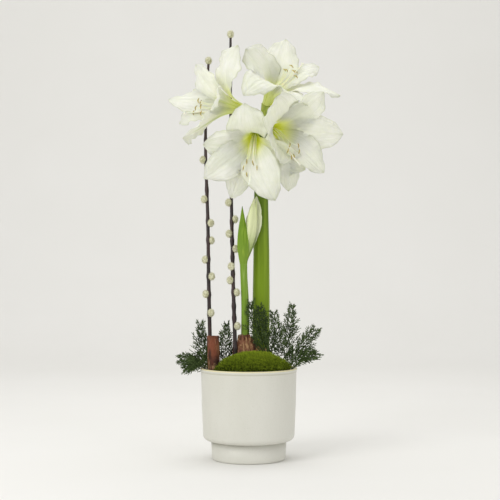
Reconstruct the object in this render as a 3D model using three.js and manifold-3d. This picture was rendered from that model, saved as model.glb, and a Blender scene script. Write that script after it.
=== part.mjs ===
// A potted amaryllis (Hippeastrum): a bulb planted in a footed ceramic pot, with one stem in flower and
// one in bud, dressed with a moss cushion, conifer sprigs, two pussy willow twigs and a roll of bark.
// Millimetres, +Z up, -Y to the front, origin at the centre of the pot's foot on the ground.
import * as THREE from "three";
import { mergeVertices } from "three/addons/utils/BufferGeometryUtils.js";
import Module from "manifold-3d";

const wasm = await Module();
wasm.setup();

const V = (x, y, z) => new THREE.Vector3(x, y, z);
const DEG = Math.PI / 180;
const GAP = 0.3; // clearance between pieces that touch
const GRID = 0.01; // corners of the finished solids lie on this grid
const SLIVER = 0.08; // the cuts leave slivers, and any detail thinner than this is smoothed away

// ---------------------------------------------------------------- driving dimensions

const POT = {
  rimRadius: 80,
  lipRadius: 78.8,
  bodyTopRadius: 78.6,
  bodyBottomRadius: 75.5,
  footTopRadius: 62.2,
  footBottomRadius: 60.8,
  height: 151,
  footHeight: 32,
  shoulder: 9, // rounding between body and foot
  lipDepth: 6, // how far below the rim the wall starts to flare
  wall: 5,
  floor: 8,
  facets: 28,
};
const SOIL_TOP = 138;
const MOSS = { centre: V(8, -32, SOIL_TOP), half: V(66, 41, 42) };

// The bulb: [radius, height] pairs up its side, and the papery collars round its two stems.
const BULB = {
  x: 5,
  y: 14,
  side: [[16, 92], [36, 104], [45, 124], [45, 145], [37, 163], [26, 175]],
  top: 179,
  budCollar: [[V(-6, 7, 160), 21], [V(-8, 3, 190), 15.5], [V(-8, 1, 210), 10.4]],
  flowerCollar: [[V(18, 22, 160), 20], [V(21, 23, 188), 16]],
};

// The stems: points along the middle, each with a radius.
const FLOWER_STEM = [
  [V(20, 24, 166), 14.2],
  [V(20.7, 23, 260), 14],
  [V(21, 22, 345), 13],
  [V(20.6, 20, 450), 11.2],
  [V(21, 19, 538), 11],
];
const BUD_STEM = [
  [V(-6, 1, 172), 7],
  [V(-6, 1, 250), 6.3],
  [V(-8, -2, 300), 5.7],
  [V(-8.6, -4, 322), 5.9],
];
const UMBEL = V(21, 19, 538.3); // where the four flower stalks start, on top of the flowering stem

// ---------------------------------------------------------------- solids

/** A closed manifold-3d solid from a geometry whose surface is closed once equal points are merged. */
function solidOf(geometry) {
  const bare = new THREE.BufferGeometry();
  bare.setAttribute("position", geometry.getAttribute("position"));
  bare.setIndex(geometry.index);
  const merged = mergeVertices(bare, 1e-4);
  const faces = [];
  for (let i = 0; i < merged.index.count; i += 3) {
    const [a, b, c] = [0, 1, 2].map((k) => merged.index.getX(i + k));
    if (a !== b && b !== c && c !== a) faces.push(a, b, c);
  }
  const vertProperties = merged.attributes.position.array;
  const build = (triVerts) => new wasm.Manifold(new wasm.Mesh({ numProp: 3, vertProperties, triVerts }));
  const made = build(new Uint32Array(faces));
  return made.volume() < 0 ? build(new Uint32Array(faces).reverse()) : made;
}

/** The solid as a three.js geometry. */
function geometryOf(solid) {
  const mesh = solid.getMesh();
  const points = new Float32Array(mesh.numVert * 3);
  for (let i = 0; i < mesh.numVert; i++) {
    points.set(mesh.vertProperties.subarray(i * mesh.numProp, i * mesh.numProp + 3), i * 3);
  }
  const geometry = new THREE.BufferGeometry();
  geometry.setAttribute("position", new THREE.BufferAttribute(points, 3));
  geometry.setIndex(new THREE.BufferAttribute(mesh.triVerts, 1));
  geometry.computeVertexNormals();
  return geometry;
}

/**
 * A closed solid through rings of points, all of one length, with both ends closed at the ring's middle.
 * A sheet's rings run along one face and back along the other. Its two faces are split along the same
 * diagonals, because opposite diagonals on bent quads would let the faces cross where the sheet is thin.
 */
function loft(rings, { sheet = false } = {}) {
  const around = rings[0].length;
  const middle = (ring) => ring.reduce((sum, p) => sum.add(p), V(0, 0, 0)).divideScalar(around);
  const points = [...rings.flat(), middle(rings[0]), middle(rings.at(-1))];
  const last = (rings.length - 1) * around;
  const index = [];
  for (let i = 0; i < around; i++) {
    const j = (i + 1) % around;
    const mirrored = sheet && i >= around / 2;
    for (let row = 0; row < last; row += around) {
      const next = row + around;
      if (mirrored) index.push(row + i, row + j, next + i, row + j, next + j, next + i);
      else index.push(row + i, row + j, next + j, row + i, next + j, next + i);
    }
    index.push(last + around, j, i);
    index.push(last + around + 1, last + i, last + j);
  }
  const geometry = new THREE.BufferGeometry().setFromPoints(points);
  geometry.setIndex(index);
  return solidOf(geometry);
}

/** A tapered round tube along a smooth curve through [point, radius] pairs. */
function tube(stations, { sides = 8, steps = 12, grow = 0 } = {}) {
  const curve = new THREE.CatmullRomCurve3(stations.map(([p]) => p));
  const frames = curve.computeFrenetFrames(steps, false);
  const rings = frames.tangents.map((tangent, i) => {
    const t = i / steps;
    const reach = i === 0 ? -grow : i === steps ? grow : 0;
    const at = t * (stations.length - 1);
    const k = Math.min(Math.floor(at), stations.length - 2);
    const radius = THREE.MathUtils.lerp(stations[k][1], stations[k + 1][1], at - k) + grow;
    return Array.from({ length: sides }, (_, s) => {
      const angle = (s / sides) * 2 * Math.PI;
      return curve
        .getPoint(t)
        .addScaledVector(tangent, reach)
        .addScaledVector(frames.normals[i], Math.cos(angle) * radius)
        .addScaledVector(frames.binormals[i], Math.sin(angle) * radius);
    });
  });
  return loft(rings);
}

/** A solid turned about the vertical through (x, y); its [radius, height] pairs start and end on the axis. */
function turned(profile, { x = 0, y = 0, facets = 24 } = {}) {
  const geometry = new THREE.LatheGeometry(profile.map(([r, z]) => new THREE.Vector2(r, z)), facets);
  geometry.rotateX(Math.PI / 2);
  geometry.translate(x, y, 0);
  return solidOf(geometry);
}

/** An egg-shaped ball. */
function ball(centre, half, [around, high] = [10, 7]) {
  const geometry = new THREE.SphereGeometry(1, around, high);
  geometry.rotateX(Math.PI / 2);
  geometry.scale(half.x, half.y, half.z);
  geometry.translate(centre.x, centre.y, centre.z);
  return solidOf(geometry);
}

const joined = (solids) => solids.reduce((whole, piece) => whole.add(piece));

// ---------------------------------------------------------------- pot and planting

/** The inside of the pot from the rim down to the floor, drawn in by `inset`. */
function potInside(inset) {
  const { wall, height, floor, footHeight, shoulder } = POT;
  return [
    [POT.bodyTopRadius - wall - inset, height - POT.lipDepth],
    [POT.bodyBottomRadius - wall - inset, footHeight + shoulder + 6],
    [POT.bodyBottomRadius - wall - 7 - inset, footHeight + 7 + inset],
    [POT.footTopRadius - wall - inset, footHeight + 2],
    [POT.footBottomRadius - wall - inset, floor + 3 + inset],
    [POT.footBottomRadius - wall - 4 - inset, floor + inset],
  ];
}

function pot() {
  const { footHeight, shoulder, height, bodyBottomRadius } = POT;
  const corner = [0, 1, 2, 3].map((i) => {
    const angle = (i / 3) * 90 * DEG;
    const x = bodyBottomRadius - shoulder + shoulder * Math.sin(angle);
    return [x, footHeight + shoulder - shoulder * Math.cos(angle)];
  });
  const outside = [
    [0, 0],
    [POT.footBottomRadius - 3, 0],
    [POT.footBottomRadius, 3.5],
    [POT.footTopRadius, footHeight],
    ...corner,
    [POT.bodyTopRadius, height - POT.lipDepth],
    [POT.rimRadius, height - 3],
    [POT.rimRadius - 1.2, height],
    [POT.lipRadius - POT.wall + 2, height - 0.6],
  ];
  return turned([...outside, ...potInside(0), [0, POT.floor]], { facets: POT.facets });
}

function bulb(grow = 0) {
  const { x, y, side, top, budCollar, flowerCollar } = BULB;
  const grown = side.map(([r, z], i) => [r + grow, i ? z : z - grow]);
  const body = turned([[0, side[0][1] - grow], ...grown, [0, top + grow]], { x, y, facets: 16 });
  const collars = [budCollar, flowerCollar].map((collar) =>
    tube(collar, { sides: 10, steps: collar.length - 1, grow }),
  );
  return joined([body, ...collars]);
}

/** The pot's inner width above a level, used to keep the planting off the pot's wall. */
function room(from, to) {
  const inside = POT.bodyTopRadius - POT.wall - 1.2;
  return turned([[0, from], [inside, from], [inside, to], [0, to]], { facets: POT.facets });
}

function moss() {
  const cushion = ball(MOSS.centre, MOSS.half, [18, 8]);
  return cushion.intersect(room(SOIL_TOP + GAP, SOIL_TOP + MOSS.half.z + 1));
}

function soil() {
  const inside = potInside(GAP).slice(1, -1).reverse();
  const edge = POT.bodyTopRadius - POT.wall - 0.8;
  return turned([[0, POT.floor + GAP], ...inside, [edge, SOIL_TOP], [0, SOIL_TOP]], { facets: POT.facets });
}

// ---------------------------------------------------------------- bark and willow

const CINNAMON = [[V(-56.5, -15, 118), 9], [V(-58.4, -15, 204), 9.8]];

const cinnamon = (grow = 0) => tube(CINNAMON, { sides: 14, steps: 1, grow });

// A twig is points along its bark with a radius; each catkin is a height up the twig and the side it sits on.
const WILLOWS = {
  willow_left: {
    bark: [
      [V(-62, 5, 112), 3.4],
      [V(-64.5, 6, 205), 3.3],
      [V(-66.8, 12, 300), 3.1],
      [V(-68.5, 24, 395), 2.9],
      [V(-73, 44, 515), 2.6],
      [V(-72, 58, 600), 2.4],
      [V(-68.6, 60, 662), 2.1],
    ],
    catkins: [
      [241, -60],
      [272, 200],
      [301, -20],
      [329, 190],
      [361, 10],
      [390, -20],
      [430, 195],
      [497, 175],
      [575, 20],
    ],
  },
  willow_middle: {
    bark: [
      [V(-22, -12, 112), 3.5],
      [V(-22.3, -10, 180), 3.4],
      [V(-25.2, -4, 272), 3.1],
      [V(-28, 10, 380), 2.9],
      [V(-30, 28, 500), 2.6],
      [V(-31, 50, 640), 2.3],
      [V(-31, 55, 706), 2],
    ],
    catkins: [
      [220, -30],
      [275, -10],
      [295, 200],
      [318, -120],
      [347, -15],
      [372, 195],
      [396, 5],
      [424, 190],
      [520, 20],
      [600, 180],
    ],
  },
};
const CATKIN = { half: V(5.6, 5.6, 6.8), standOff: 2.2, aboveTip: 5, facets: [5, 4] };
const WILLOW_FOOT_ROOM = 0.6; // how much clear space the soil and moss leave round a twig

/** Where a twig's bark is at a height, and how thick it is there. */
function barkAt(bark, z) {
  const k = bark.findIndex(([p]) => p.z >= z);
  const [[below, thick], [above, thin]] = [bark[k - 1], bark[k]];
  const t = (z - below.z) / (above.z - below.z);
  return [below.clone().lerp(above, t), THREE.MathUtils.lerp(thick, thin, t)];
}

function willow({ bark, catkins }) {
  const sides = catkins.map(([z, side]) => {
    const [p, radius] = barkAt(bark, z);
    const out = V(Math.cos(side * DEG), Math.sin(side * DEG), 0);
    return ball(p.addScaledVector(out, radius + CATKIN.standOff), CATKIN.half, CATKIN.facets);
  });
  const tip = ball(bark.at(-1)[0].clone().add(V(0, 0, CATKIN.aboveTip)), CATKIN.half, CATKIN.facets);
  return joined([tube(bark, { sides: 6, steps: 10 }), tip, ...sides]);
}

const willowFoot = ({ bark }) => tube(bark.slice(0, 3), { sides: 6, steps: 4, grow: WILLOW_FOOT_ROOM });

// ---------------------------------------------------------------- conifer sprigs

// Each sprig: the points its midrib passes from its foot in the soil, and how far its flat spray is turned
// from facing the front, in degrees.
const SPRIGS = {
  sprig_left_low: {
    rib: [V(-58, 14, 122), V(-70, 10, 156), V(-90, 2, 163), V(-112, -4, 165)],
    yaw: 10,
  },
  sprig_left_front: {
    rib: [V(-62, -2, 122), V(-72, -14, 154), V(-86, -20, 157), V(-103, -24, 151)],
    yaw: -10,
  },
  sprig_left_high: {
    rib: [V(-52, 22, 122), V(-68, 22, 160), V(-78, 20, 190), V(-80, 18, 221)],
    yaw: 0,
  },
  sprig_middle: {
    rib: [V(-38, 10, 122), V(-38, 8, 160), V(-38, 4, 190), V(-37, 2, 221)],
    yaw: 15,
  },
  sprig_centre_left: {
    rib: [V(34, -20, 140), V(24, -18, 184), V(10, -14, 222), V(2.5, -12, 258)],
    yaw: 0,
  },
  sprig_centre: {
    rib: [V(42, -12, 122), V(34, -12, 180), V(26, -8, 218), V(19.5, -7, 250)],
    yaw: 8,
  },
  sprig_right_near: {
    rib: [V(50, 2, 122), V(50, 2, 170), V(47, 0, 205), V(42, -2, 241)],
    yaw: 0,
  },
  sprig_right_tall: {
    rib: [V(58, 14, 122), V(64, 14, 185), V(69, 12, 215), V(73, 10, 251)],
    yaw: 0,
  },
  sprig_right_out: {
    rib: [V(58, 0, 122), V(70, -4, 165), V(90, -6, 190), V(109, -8, 214)],
    yaw: 0,
  },
  sprig_right_low: {
    rib: [V(62, -16, 122), V(74, -18, 157), V(90, -20, 168), V(107, -22, 175)],
    yaw: 12,
  },
};
const SHOOT = { count: 4, first: 0.46, last: 0.92, angle: 44, longest: 26, shortening: 0.6, radius: 1.2 };
const SHOOT_ROOM = 0.5; // how much clear space the soil and moss leave round a sprig
const RIB_RADII = [1.8, 1.6, 1.3, 0.9];

function midribTube({ rib }, grow = 0) {
  return tube(rib.map((p, i) => [p, RIB_RADII[i]]), { sides: 4, steps: 4, grow });
}

function sprig({ rib, yaw }) {
  const curve = new THREE.CatmullRomCurve3(rib);
  const faces = V(Math.sin(yaw * DEG), -Math.cos(yaw * DEG), 0);
  const side = Array.from({ length: SHOOT.count }, (_, i) => {
    const share = i / (SHOOT.count - 1);
    const t = THREE.MathUtils.lerp(SHOOT.first, SHOOT.last, share);
    const along = curve.getTangent(t);
    const across = along.clone().cross(faces).normalize().multiplyScalar(i % 2 ? 1 : -1);
    const out = along
      .multiplyScalar(Math.cos(SHOOT.angle * DEG))
      .addScaledVector(across, Math.sin(SHOOT.angle * DEG));
    const start = curve.getPoint(t);
    const end = start.clone().addScaledVector(out, SHOOT.longest * (1 - SHOOT.shortening * share));
    return tube([[start, SHOOT.radius], [end, SHOOT.radius * 0.5]], { sides: 3, steps: 1 });
  });
  return joined([midribTube({ rib }), ...side]);
}

// ---------------------------------------------------------------- flowers

const PETAL = { thickness: 1.1, rows: 6, across: 5, room: 0.5 };
const WHORL = { outer: 8.2, inner: 5.8 }; // how far from the flower's axis each ring of petals starts

// Each flower has its tube's end, the way it faces, how far its stamens sag, and its six petals. A petal has
// the place round the flower (degrees, 0 right and 90 up as seen from in front), length and width, and the
// midrib's angle from the flower's axis at its base, a third, two thirds and the tip. Some also twist.
const FLOWERS = {
  right: {
    throat: V(35.5, 4, 547),
    facing: V(0.52, -0.82, -0.2),
    sag: 30,
    petals: {
      inner_upper_right: { at: 61, length: 121, width: 62, lean: [10, 26, 56, 80] },
      outer_upper_left: { at: 133, length: 115, width: 84, lean: [10, 26, 52, 66] },
      outer_right: { at: 3, length: 127, width: 68, lean: [10, 24, 62, 84] },
      inner_lower_right: { at: 313, length: 125, width: 56, lean: [10, 24, 54, 84] },
      outer_bottom: { at: 279, length: 126, width: 52, lean: [10, 34, 86, 118] },
      inner_lower_left: { at: 233, length: 100, width: 72, lean: [10, 26, 38, 44] },
    },
  },
  front: {
    throat: V(9.8, -5, 534),
    facing: V(-0.12, -0.92, -0.37),
    sag: 34,
    petals: {
      outer_top: { at: 97, length: 104, width: 72, lean: [8, 16, 80, 165] },
      inner_upper_left: { at: 176, length: 108, width: 58, lean: [10, 24, 66, 96] },
      outer_left: { at: 213, length: 129, width: 62, lean: [10, 22, 70, 104] },
      inner_lower_left: { at: 248, length: 129, width: 52, lean: [10, 28, 86, 112] },
      outer_bottom: { at: 295, length: 138, width: 68, lean: [10, 20, 62, 108] },
      inner_right: { at: 330, length: 112, width: 60, lean: [10, 58, 96, 104] },
    },
  },
  left: {
    throat: V(-12, 3, 579),
    facing: V(-0.88, -0.4, 0.2),
    sag: 18,
    petals: {
      inner_front: { at: -6, length: 110, width: 50, lean: [10, 24, 60, 100] },
      outer_top: { at: 65, length: 116, width: 68, lean: [10, 48, 88, 104], twist: 25 },
      inner_rear_top: { at: 128, length: 114, width: 60, lean: [10, 24, 62, 84] },
      outer_rear: { at: 182, length: 125, width: 52, lean: [10, 20, 40, 62], twist: 35 },
      inner_rear_bottom: { at: 222, length: 108, width: 48, lean: [10, 20, 44, 74] },
      outer_bottom: { at: 290, length: 128, width: 70, lean: [10, 38, 46, 40], twist: 25 },
    },
  },
  top: {
    throat: V(29, 18, 587),
    facing: V(0.4, -0.42, 0.82),
    sag: 20,
    petals: {
      outer_top: { at: 58, length: 116, width: 70, lean: [10, 18, 40, 54], twist: -20 },
      inner_upper_left: { at: 148, length: 106, width: 78, lean: [10, 22, 54, 66], twist: -40 },
      outer_left: { at: 200, length: 130, width: 62, lean: [10, 44, 100, 150] },
      inner_front: { at: 264, length: 110, width: 54, lean: [10, 42, 84, 100] },
      outer_lower_right: { at: 317, length: 129, width: 54, lean: [10, 42, 76, 90] },
      inner_right: { at: 2, length: 118, width: 50, lean: [10, 28, 58, 84] },
    },
  },
};

/** A flower's own axes: forward out of its mouth, up, and right as seen from in front. */
function axesOf({ facing }) {
  const forward = facing.clone().normalize();
  const right = V(0, 0, 1).cross(forward).normalize();
  return { forward, right, up: forward.clone().cross(right) };
}

/** Half the petal's width at a share of its length, as a share of its widest. */
function petalOutline(t) {
  return (0.2 + 0.8 * THREE.MathUtils.smoothstep(t, 0.04, 0.58)) * (1 - t ** 4.4) ** 0.74;
}

/** The midrib's angle at a share of its length, eased between four evenly spaced ones. */
function leanAt(lean, t) {
  const at = Math.min(t, 0.9999) * 3;
  const k = Math.floor(at);
  const f = at - k;
  return THREE.MathUtils.lerp(lean[k], lean[k + 1], 0.6 * f + 0.4 * f * f * (3 - 2 * f)) * DEG;
}

/** The petal's midrib: the point, side direction and inner face's normal at small steps of its length. */
function midrib(flower, { at, length, lean, twist = 0 }, startRadius) {
  const { forward, right, up } = axesOf(flower);
  const radial = right.clone().multiplyScalar(Math.cos(at * DEG)).addScaledVector(up, Math.sin(at * DEG));
  const tangent = forward.clone().cross(radial);
  const steps = 60;
  const path = [];
  let axial = 1;
  let out = startRadius;
  for (let i = 0; i <= steps; i++) {
    const t = i / steps;
    const angle = leanAt(lean, t);
    const along = forward.clone().multiplyScalar(Math.cos(angle)).addScaledVector(radial, Math.sin(angle));
    const inward = forward.clone().multiplyScalar(Math.sin(angle)).addScaledVector(radial, -Math.cos(angle));
    const point = flower.throat.clone().addScaledVector(forward, axial).addScaledVector(radial, out);
    const turn = twist * DEG * t;
    const side = tangent.clone().applyAxisAngle(along, turn);
    path.push({ point, side, inward: inward.applyAxisAngle(along, turn), radius: out });
    axial += (Math.cos(angle) * length) / steps;
    out += (Math.sin(angle) * length) / steps;
  }
  return path;
}

/** A petal: a thin leaf bowed round the tube at its base and flattening towards its tip. */
function petal(flower, shape, startRadius, grow = 0) {
  const path = midrib(flower, shape, startRadius);
  const thickness = PETAL.thickness + 2 * grow;
  const rings = Array.from({ length: PETAL.rows + 1 }, (_, row) => {
    const t = row / PETAL.rows;
    const { point, side, inward, radius } = path[Math.round(t * (path.length - 1))];
    const half = Math.max((shape.width / 2) * petalOutline(t), 0.6) + grow;
    const bow = (1 - t) / radius + 0.004 * t;
    const face = (depth) =>
      Array.from({ length: PETAL.across }, (_, i) => {
        const u = (-1 + (2 * i) / (PETAL.across - 1)) * half;
        const edge = 1 - 0.5 * (u / half) ** 2;
        return point
          .clone()
          .addScaledVector(side, Math.sin(u * bow) / bow)
          .addScaledVector(inward, (1 - Math.cos(u * bow)) / bow + depth * edge);
      });
    return [...face(thickness / 2), ...face(-thickness / 2).reverse()];
  });
  return loft(rings, { sheet: true });
}

// The stalks start round the umbel; the style runs on from the ovary at a stalk's end.
const STALK = { spread: 6.2, rise: 9, run: 16, radii: [3.6, 3.5, 3.8, 4.6, 5.4, 5.2], sides: 6, steps: 18 };
const STYLE = { reach: 96, sag: 1.25, radii: [1.6, 0.9, 0.9, 1.6] };
const FILAMENT = {
  base: 4,
  start: 3.2,
  reach: 76,
  uneven: 5,
  radius: 0.8,
  antherHalf: 4.5,
  antherRadius: 1.2,
};

// Where a filament passes: the share of its reach, the distance from the axis, and the share of the sag.
const FILAMENT_ROUTE = [[0.36, 4.8, 0.22], [0.74, 7, 0.74], [1, 11, 0.94]];
const FILAMENT_RING = { radius: 3.3, thickness: 0.9, ahead: 4.4 }; // joins the six filaments at their feet

/** A filament's route inside the flower: out along the axis, sagging, and lifting again at its end. */
function filamentPath(flower, around, startRadius, reach, sag) {
  const { forward, right, up } = axesOf(flower);
  const [c, s] = [Math.cos(around * DEG), Math.sin(around * DEG)];
  const at = (along, spread, down) =>
    flower.throat
      .clone()
      .addScaledVector(forward, along)
      .addScaledVector(right, spread * c)
      .addScaledVector(up, spread * s - down);
  const onward = FILAMENT_ROUTE.map(([share, spread, sunk]) => at(reach * share, spread, sag * sunk));
  return [at(FILAMENT.base, startRadius, 0), ...onward];
}

/** The flower's stalk, ovary and style as one tube, from the umbel to the stigma. */
function stalk(flower, startAngle, grow = 0) {
  const { forward } = axesOf(flower);
  const heading = V(Math.cos(startAngle * DEG), Math.sin(startAngle * DEG), 0);
  const start = UMBEL.clone().addScaledVector(heading, STALK.spread);
  const rise = V(0, 0, STALK.rise).addScaledVector(heading, STALK.rise / 3);
  const curve = new THREE.CubicBezierCurve3(
    start,
    start.clone().add(rise),
    flower.throat.clone().addScaledVector(forward, -STALK.run),
    flower.throat,
  );
  const below = STALK.radii.map((radius, i) => [curve.getPoint(i / (STALK.radii.length - 1)), radius]);
  const style = filamentPath(flower, 270, 0, STYLE.reach, flower.sag * STYLE.sag);
  const above = style.map((p, i) => [p, STYLE.radii[i]]);
  return tube([...below, ...above], { sides: STALK.sides, steps: STALK.steps, grow });
}

function stamens(flower, grow = 0) {
  const { forward, up } = axesOf(flower);
  const { start, reach, uneven, radius, antherHalf, antherRadius } = FILAMENT;
  const filaments = Array.from({ length: 6 }, (_, i) => {
    const path = filamentPath(flower, i * 60, start, reach + uneven * Math.sin(i * 2.1), flower.sag);
    const half = up.clone().multiplyScalar(antherHalf).addScaledVector(forward, -1);
    const ends = [path.at(-1).clone().sub(half), path.at(-1).clone().add(half)];
    const anther = tube(ends.map((p) => [p, antherRadius]), { sides: 3, steps: 1, grow });
    return tube(path.map((p) => [p, radius]), { sides: 3, steps: 3, grow }).add(anther);
  });
  const ring = new THREE.TorusGeometry(FILAMENT_RING.radius, FILAMENT_RING.thickness + grow, 4, 8);
  ring.applyQuaternion(new THREE.Quaternion().setFromUnitVectors(V(0, 0, 1), forward));
  ring.translate(...flower.throat.clone().addScaledVector(forward, FILAMENT_RING.ahead).toArray());
  return joined([solidOf(ring), ...filaments]);
}

// ---------------------------------------------------------------- the bud

// Three pods: middle points from foot to tip, the half width at the fullest place, and the half depth.
const BUD = {
  spathe_left: {
    middle: [V(-9.2, -7, 322.6), V(-10.5, -11, 362), V(-10.6, -9, 417)],
    halfWidth: 9.4,
    halfDepth: 2.4,
  },
  spathe_right: {
    middle: [V(-5.4, -0.5, 322.6), V(9, 2, 383), V(14.5, 0, 436)],
    halfWidth: 10,
    halfDepth: 2.2,
  },
  bud_flowers: {
    middle: [V(-6, -5, 330), V(1, -4, 375), V(6, -4, 428)],
    halfWidth: 9.5,
    halfDepth: 4.2,
  },
};

/** A pointed pod, an oval section that swells and closes along its middle line. */
function pod({ middle, halfWidth, halfDepth }, grow = 0) {
  const rows = 8;
  const curve = new THREE.CatmullRomCurve3(middle);
  const rings = Array.from({ length: rows + 1 }, (_, i) => {
    const swell = Math.sin(Math.PI * (0.04 + 0.92 * (i / rows))) ** 0.8;
    return Array.from({ length: 8 }, (_, s) => {
      const angle = (s / 8) * 2 * Math.PI;
      const across = Math.cos(angle) * (halfWidth * swell + grow);
      return curve.getPoint(i / rows).add(V(across, Math.sin(angle) * (halfDepth * swell + grow), 0));
    });
  });
  return loft(rings);
}

// ---------------------------------------------------------------- assembly

const COLOURS = {
  glaze: { color: 0xdcd9ca, roughness: 0.35 },
  compost: { color: 0x2c2018, roughness: 1 },
  moss: { color: 0x5d7a12, roughness: 1 },
  tunic: { color: 0x6f4126, roughness: 0.8 },
  stem: { color: 0x76951f, roughness: 0.5 },
  bud_stem: { color: 0x739a47, roughness: 0.5 },
  spathe: { color: 0x7f9f3c, roughness: 0.5 },
  petal: { color: 0xf3f5e9, roughness: 0.6 },
  bark: { color: 0x3a2320, roughness: 0.7 },
  cinnamon: { color: 0x8a4a26, roughness: 0.8 },
  conifer: { color: 0x2f4a2c, roughness: 0.7 },
  pollen: { color: 0xe8e2a0, roughness: 0.8 },
};
const materials = {};
for (const [name, look] of Object.entries(COLOURS)) {
  materials[name] = new THREE.MeshStandardMaterial({ ...look, metalness: 0 });
}

const plant = new THREE.Group();
const placed = []; // what later pieces have to clear: each placed piece, a little grown

/** The largest of a solid's separate bodies. */
function largestOf(solid) {
  return solid.decompose().reduce((largest, body) => (body.volume() > largest.volume() ? body : largest));
}

/** The solid with its corners moved to a fine grid, so that none lie closer than that and still differ. */
function snapped(solid) {
  const geometry = geometryOf(solid);
  const corners = geometry.attributes.position.array;
  for (let i = 0; i < corners.length; i++) corners[i] = Math.round(corners[i] / GRID) * GRID;
  return solidOf(geometry);
}

/** The solid with room made for its neighbours, in one body with no slivers. */
function clearOf(solid, rooms) {
  const touching = rooms.filter((other) => solid.intersect(other).volume() > 0);
  const left = touching.length ? largestOf(solid.subtract(joined(touching))) : solid;
  return largestOf(snapped(largestOf(left.asOriginal().simplify(SLIVER))));
}

function add(name, solid, material, grown = null) {
  const mesh = new THREE.Mesh(geometryOf(clearOf(solid, placed)), materials[material]);
  mesh.name = name;
  plant.add(mesh);
  if (grown) placed.push(grown.add(solid));
}

const STEM_SHAPE = { sides: 12, steps: 5 };
const grown = { ...STEM_SHAPE, grow: GAP };
add("flower_stem", tube(FLOWER_STEM, STEM_SHAPE), "stem", tube(FLOWER_STEM, grown));
add("bud_stem", tube(BUD_STEM, STEM_SHAPE), "bud_stem", tube(BUD_STEM, grown));
add("cinnamon_stick", cinnamon(), "cinnamon", cinnamon(GAP));
for (const [name, twig] of Object.entries(WILLOWS)) add(name, willow(twig), "bark", willowFoot(twig));
for (const [name, shape] of Object.entries(SPRIGS)) {
  add(name, sprig(shape), "conifer", midribTube(shape, SHOOT_ROOM));
}
add("bulb", bulb(), "tunic", bulb(GAP));
add("moss_cushion", moss(), "moss");
add("soil", soil(), "compost");
add("pot", pot(), "glaze");

for (const [name, shape] of Object.entries(BUD)) {
  add(name, pod(shape), name === "bud_flowers" ? "petal" : "spathe", pod(shape, GAP));
}

const STALK_HEADINGS = { front: 235, right: 325, left: 145, top: 55 };
for (const [name, flower] of Object.entries(FLOWERS)) {
  const heading = STALK_HEADINGS[name];
  add(`${name}_flower_stalk`, stalk(flower, heading), "stem", stalk(flower, heading, GAP));
  add(`${name}_flower_stamens`, stamens(flower), "pollen", stamens(flower, GAP));
}
for (const [name, flower] of Object.entries(FLOWERS)) {
  for (const [place, shape] of Object.entries(flower.petals)) {
    const start = place.startsWith("outer") ? WHORL.outer : WHORL.inner;
    const room = petal(flower, shape, start, PETAL.room);
    add(`${name}_flower_${place}_petal`, petal(flower, shape, start), "petal", room);
  }
}

export default plant;
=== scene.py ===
# %% [markdown]
# # A potted amaryllis, from frame to finish
# The plant arrives as a measured frame: a pot, a bulb, two stems, four flowers and the dressing round
# them, all at their real size. These cells give each piece its grown or fired surface. The frame is
# loaded first.

# %% Load the frame
import math
import random

import bpy
from mathutils import Matrix, Vector, noise


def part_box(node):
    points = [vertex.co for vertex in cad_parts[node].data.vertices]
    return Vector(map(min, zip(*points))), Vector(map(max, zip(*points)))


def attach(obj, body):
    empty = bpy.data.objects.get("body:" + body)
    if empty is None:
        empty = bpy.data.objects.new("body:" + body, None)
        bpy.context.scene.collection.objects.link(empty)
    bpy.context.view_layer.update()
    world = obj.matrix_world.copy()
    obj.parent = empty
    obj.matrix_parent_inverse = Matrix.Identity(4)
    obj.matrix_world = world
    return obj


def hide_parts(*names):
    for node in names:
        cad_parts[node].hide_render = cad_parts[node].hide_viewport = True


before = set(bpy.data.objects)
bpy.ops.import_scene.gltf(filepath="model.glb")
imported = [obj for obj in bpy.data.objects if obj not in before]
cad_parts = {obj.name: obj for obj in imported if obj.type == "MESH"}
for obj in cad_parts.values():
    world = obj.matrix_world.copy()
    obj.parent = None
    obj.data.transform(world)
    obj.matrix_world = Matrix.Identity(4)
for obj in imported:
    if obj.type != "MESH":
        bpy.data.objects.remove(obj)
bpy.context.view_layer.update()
MM = 0.001
print("frame nodes:", len(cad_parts))

# %% [markdown]
# ## Camera and studio
# The plant is tall and narrow and is looked at level, from a little over two metres, through a long lens.
# A sweep of pale paper makes the floor and the wall in one curve, so no line crosses behind the stems.
# One wide lamp at the front left does most of the work, and a weaker one fills from the right.

# %% Camera
CAMERA_PLACE = Vector((0.002, -2.066, 0.345))
LENS = 90.0
SENSOR = 36.0


def placed(name, data):
    """A new object in the scene that holds the given camera, lamp or mesh."""
    thing = bpy.data.objects.new(name, data)
    bpy.context.scene.collection.objects.link(thing)
    return thing


camera_data = bpy.data.cameras.new("studio_camera")
camera_data.lens = LENS
camera_data.sensor_width = SENSOR
camera = placed("studio_camera", camera_data)
camera.location = CAMERA_PLACE
camera.rotation_euler = (math.radians(90), 0, 0)
bpy.context.scene.camera = camera
bpy.context.scene.view_settings.view_transform = "Standard"
print("camera at", tuple(round(v, 3) for v in CAMERA_PLACE), "lens", LENS, "mm")

# %% [markdown]
# White petals against a pale wall need light from all round, so that neither goes dark, and one side a
# little brighter than the other, so that the folds still show. The lamps are large and weak, and the
# world gives the rest.


# %% Lamps
def soft_lamp(name, place, target, size, power):
    """A square area lamp at a place, turned to face a target."""
    lamp = bpy.data.lights.new(name, "AREA")
    lamp.size = size
    lamp.energy = power
    holder = placed(name, lamp)
    holder.location = place
    holder.rotation_euler = (Vector(target) - Vector(place)).to_track_quat("-Z", "Y").to_euler()


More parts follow.
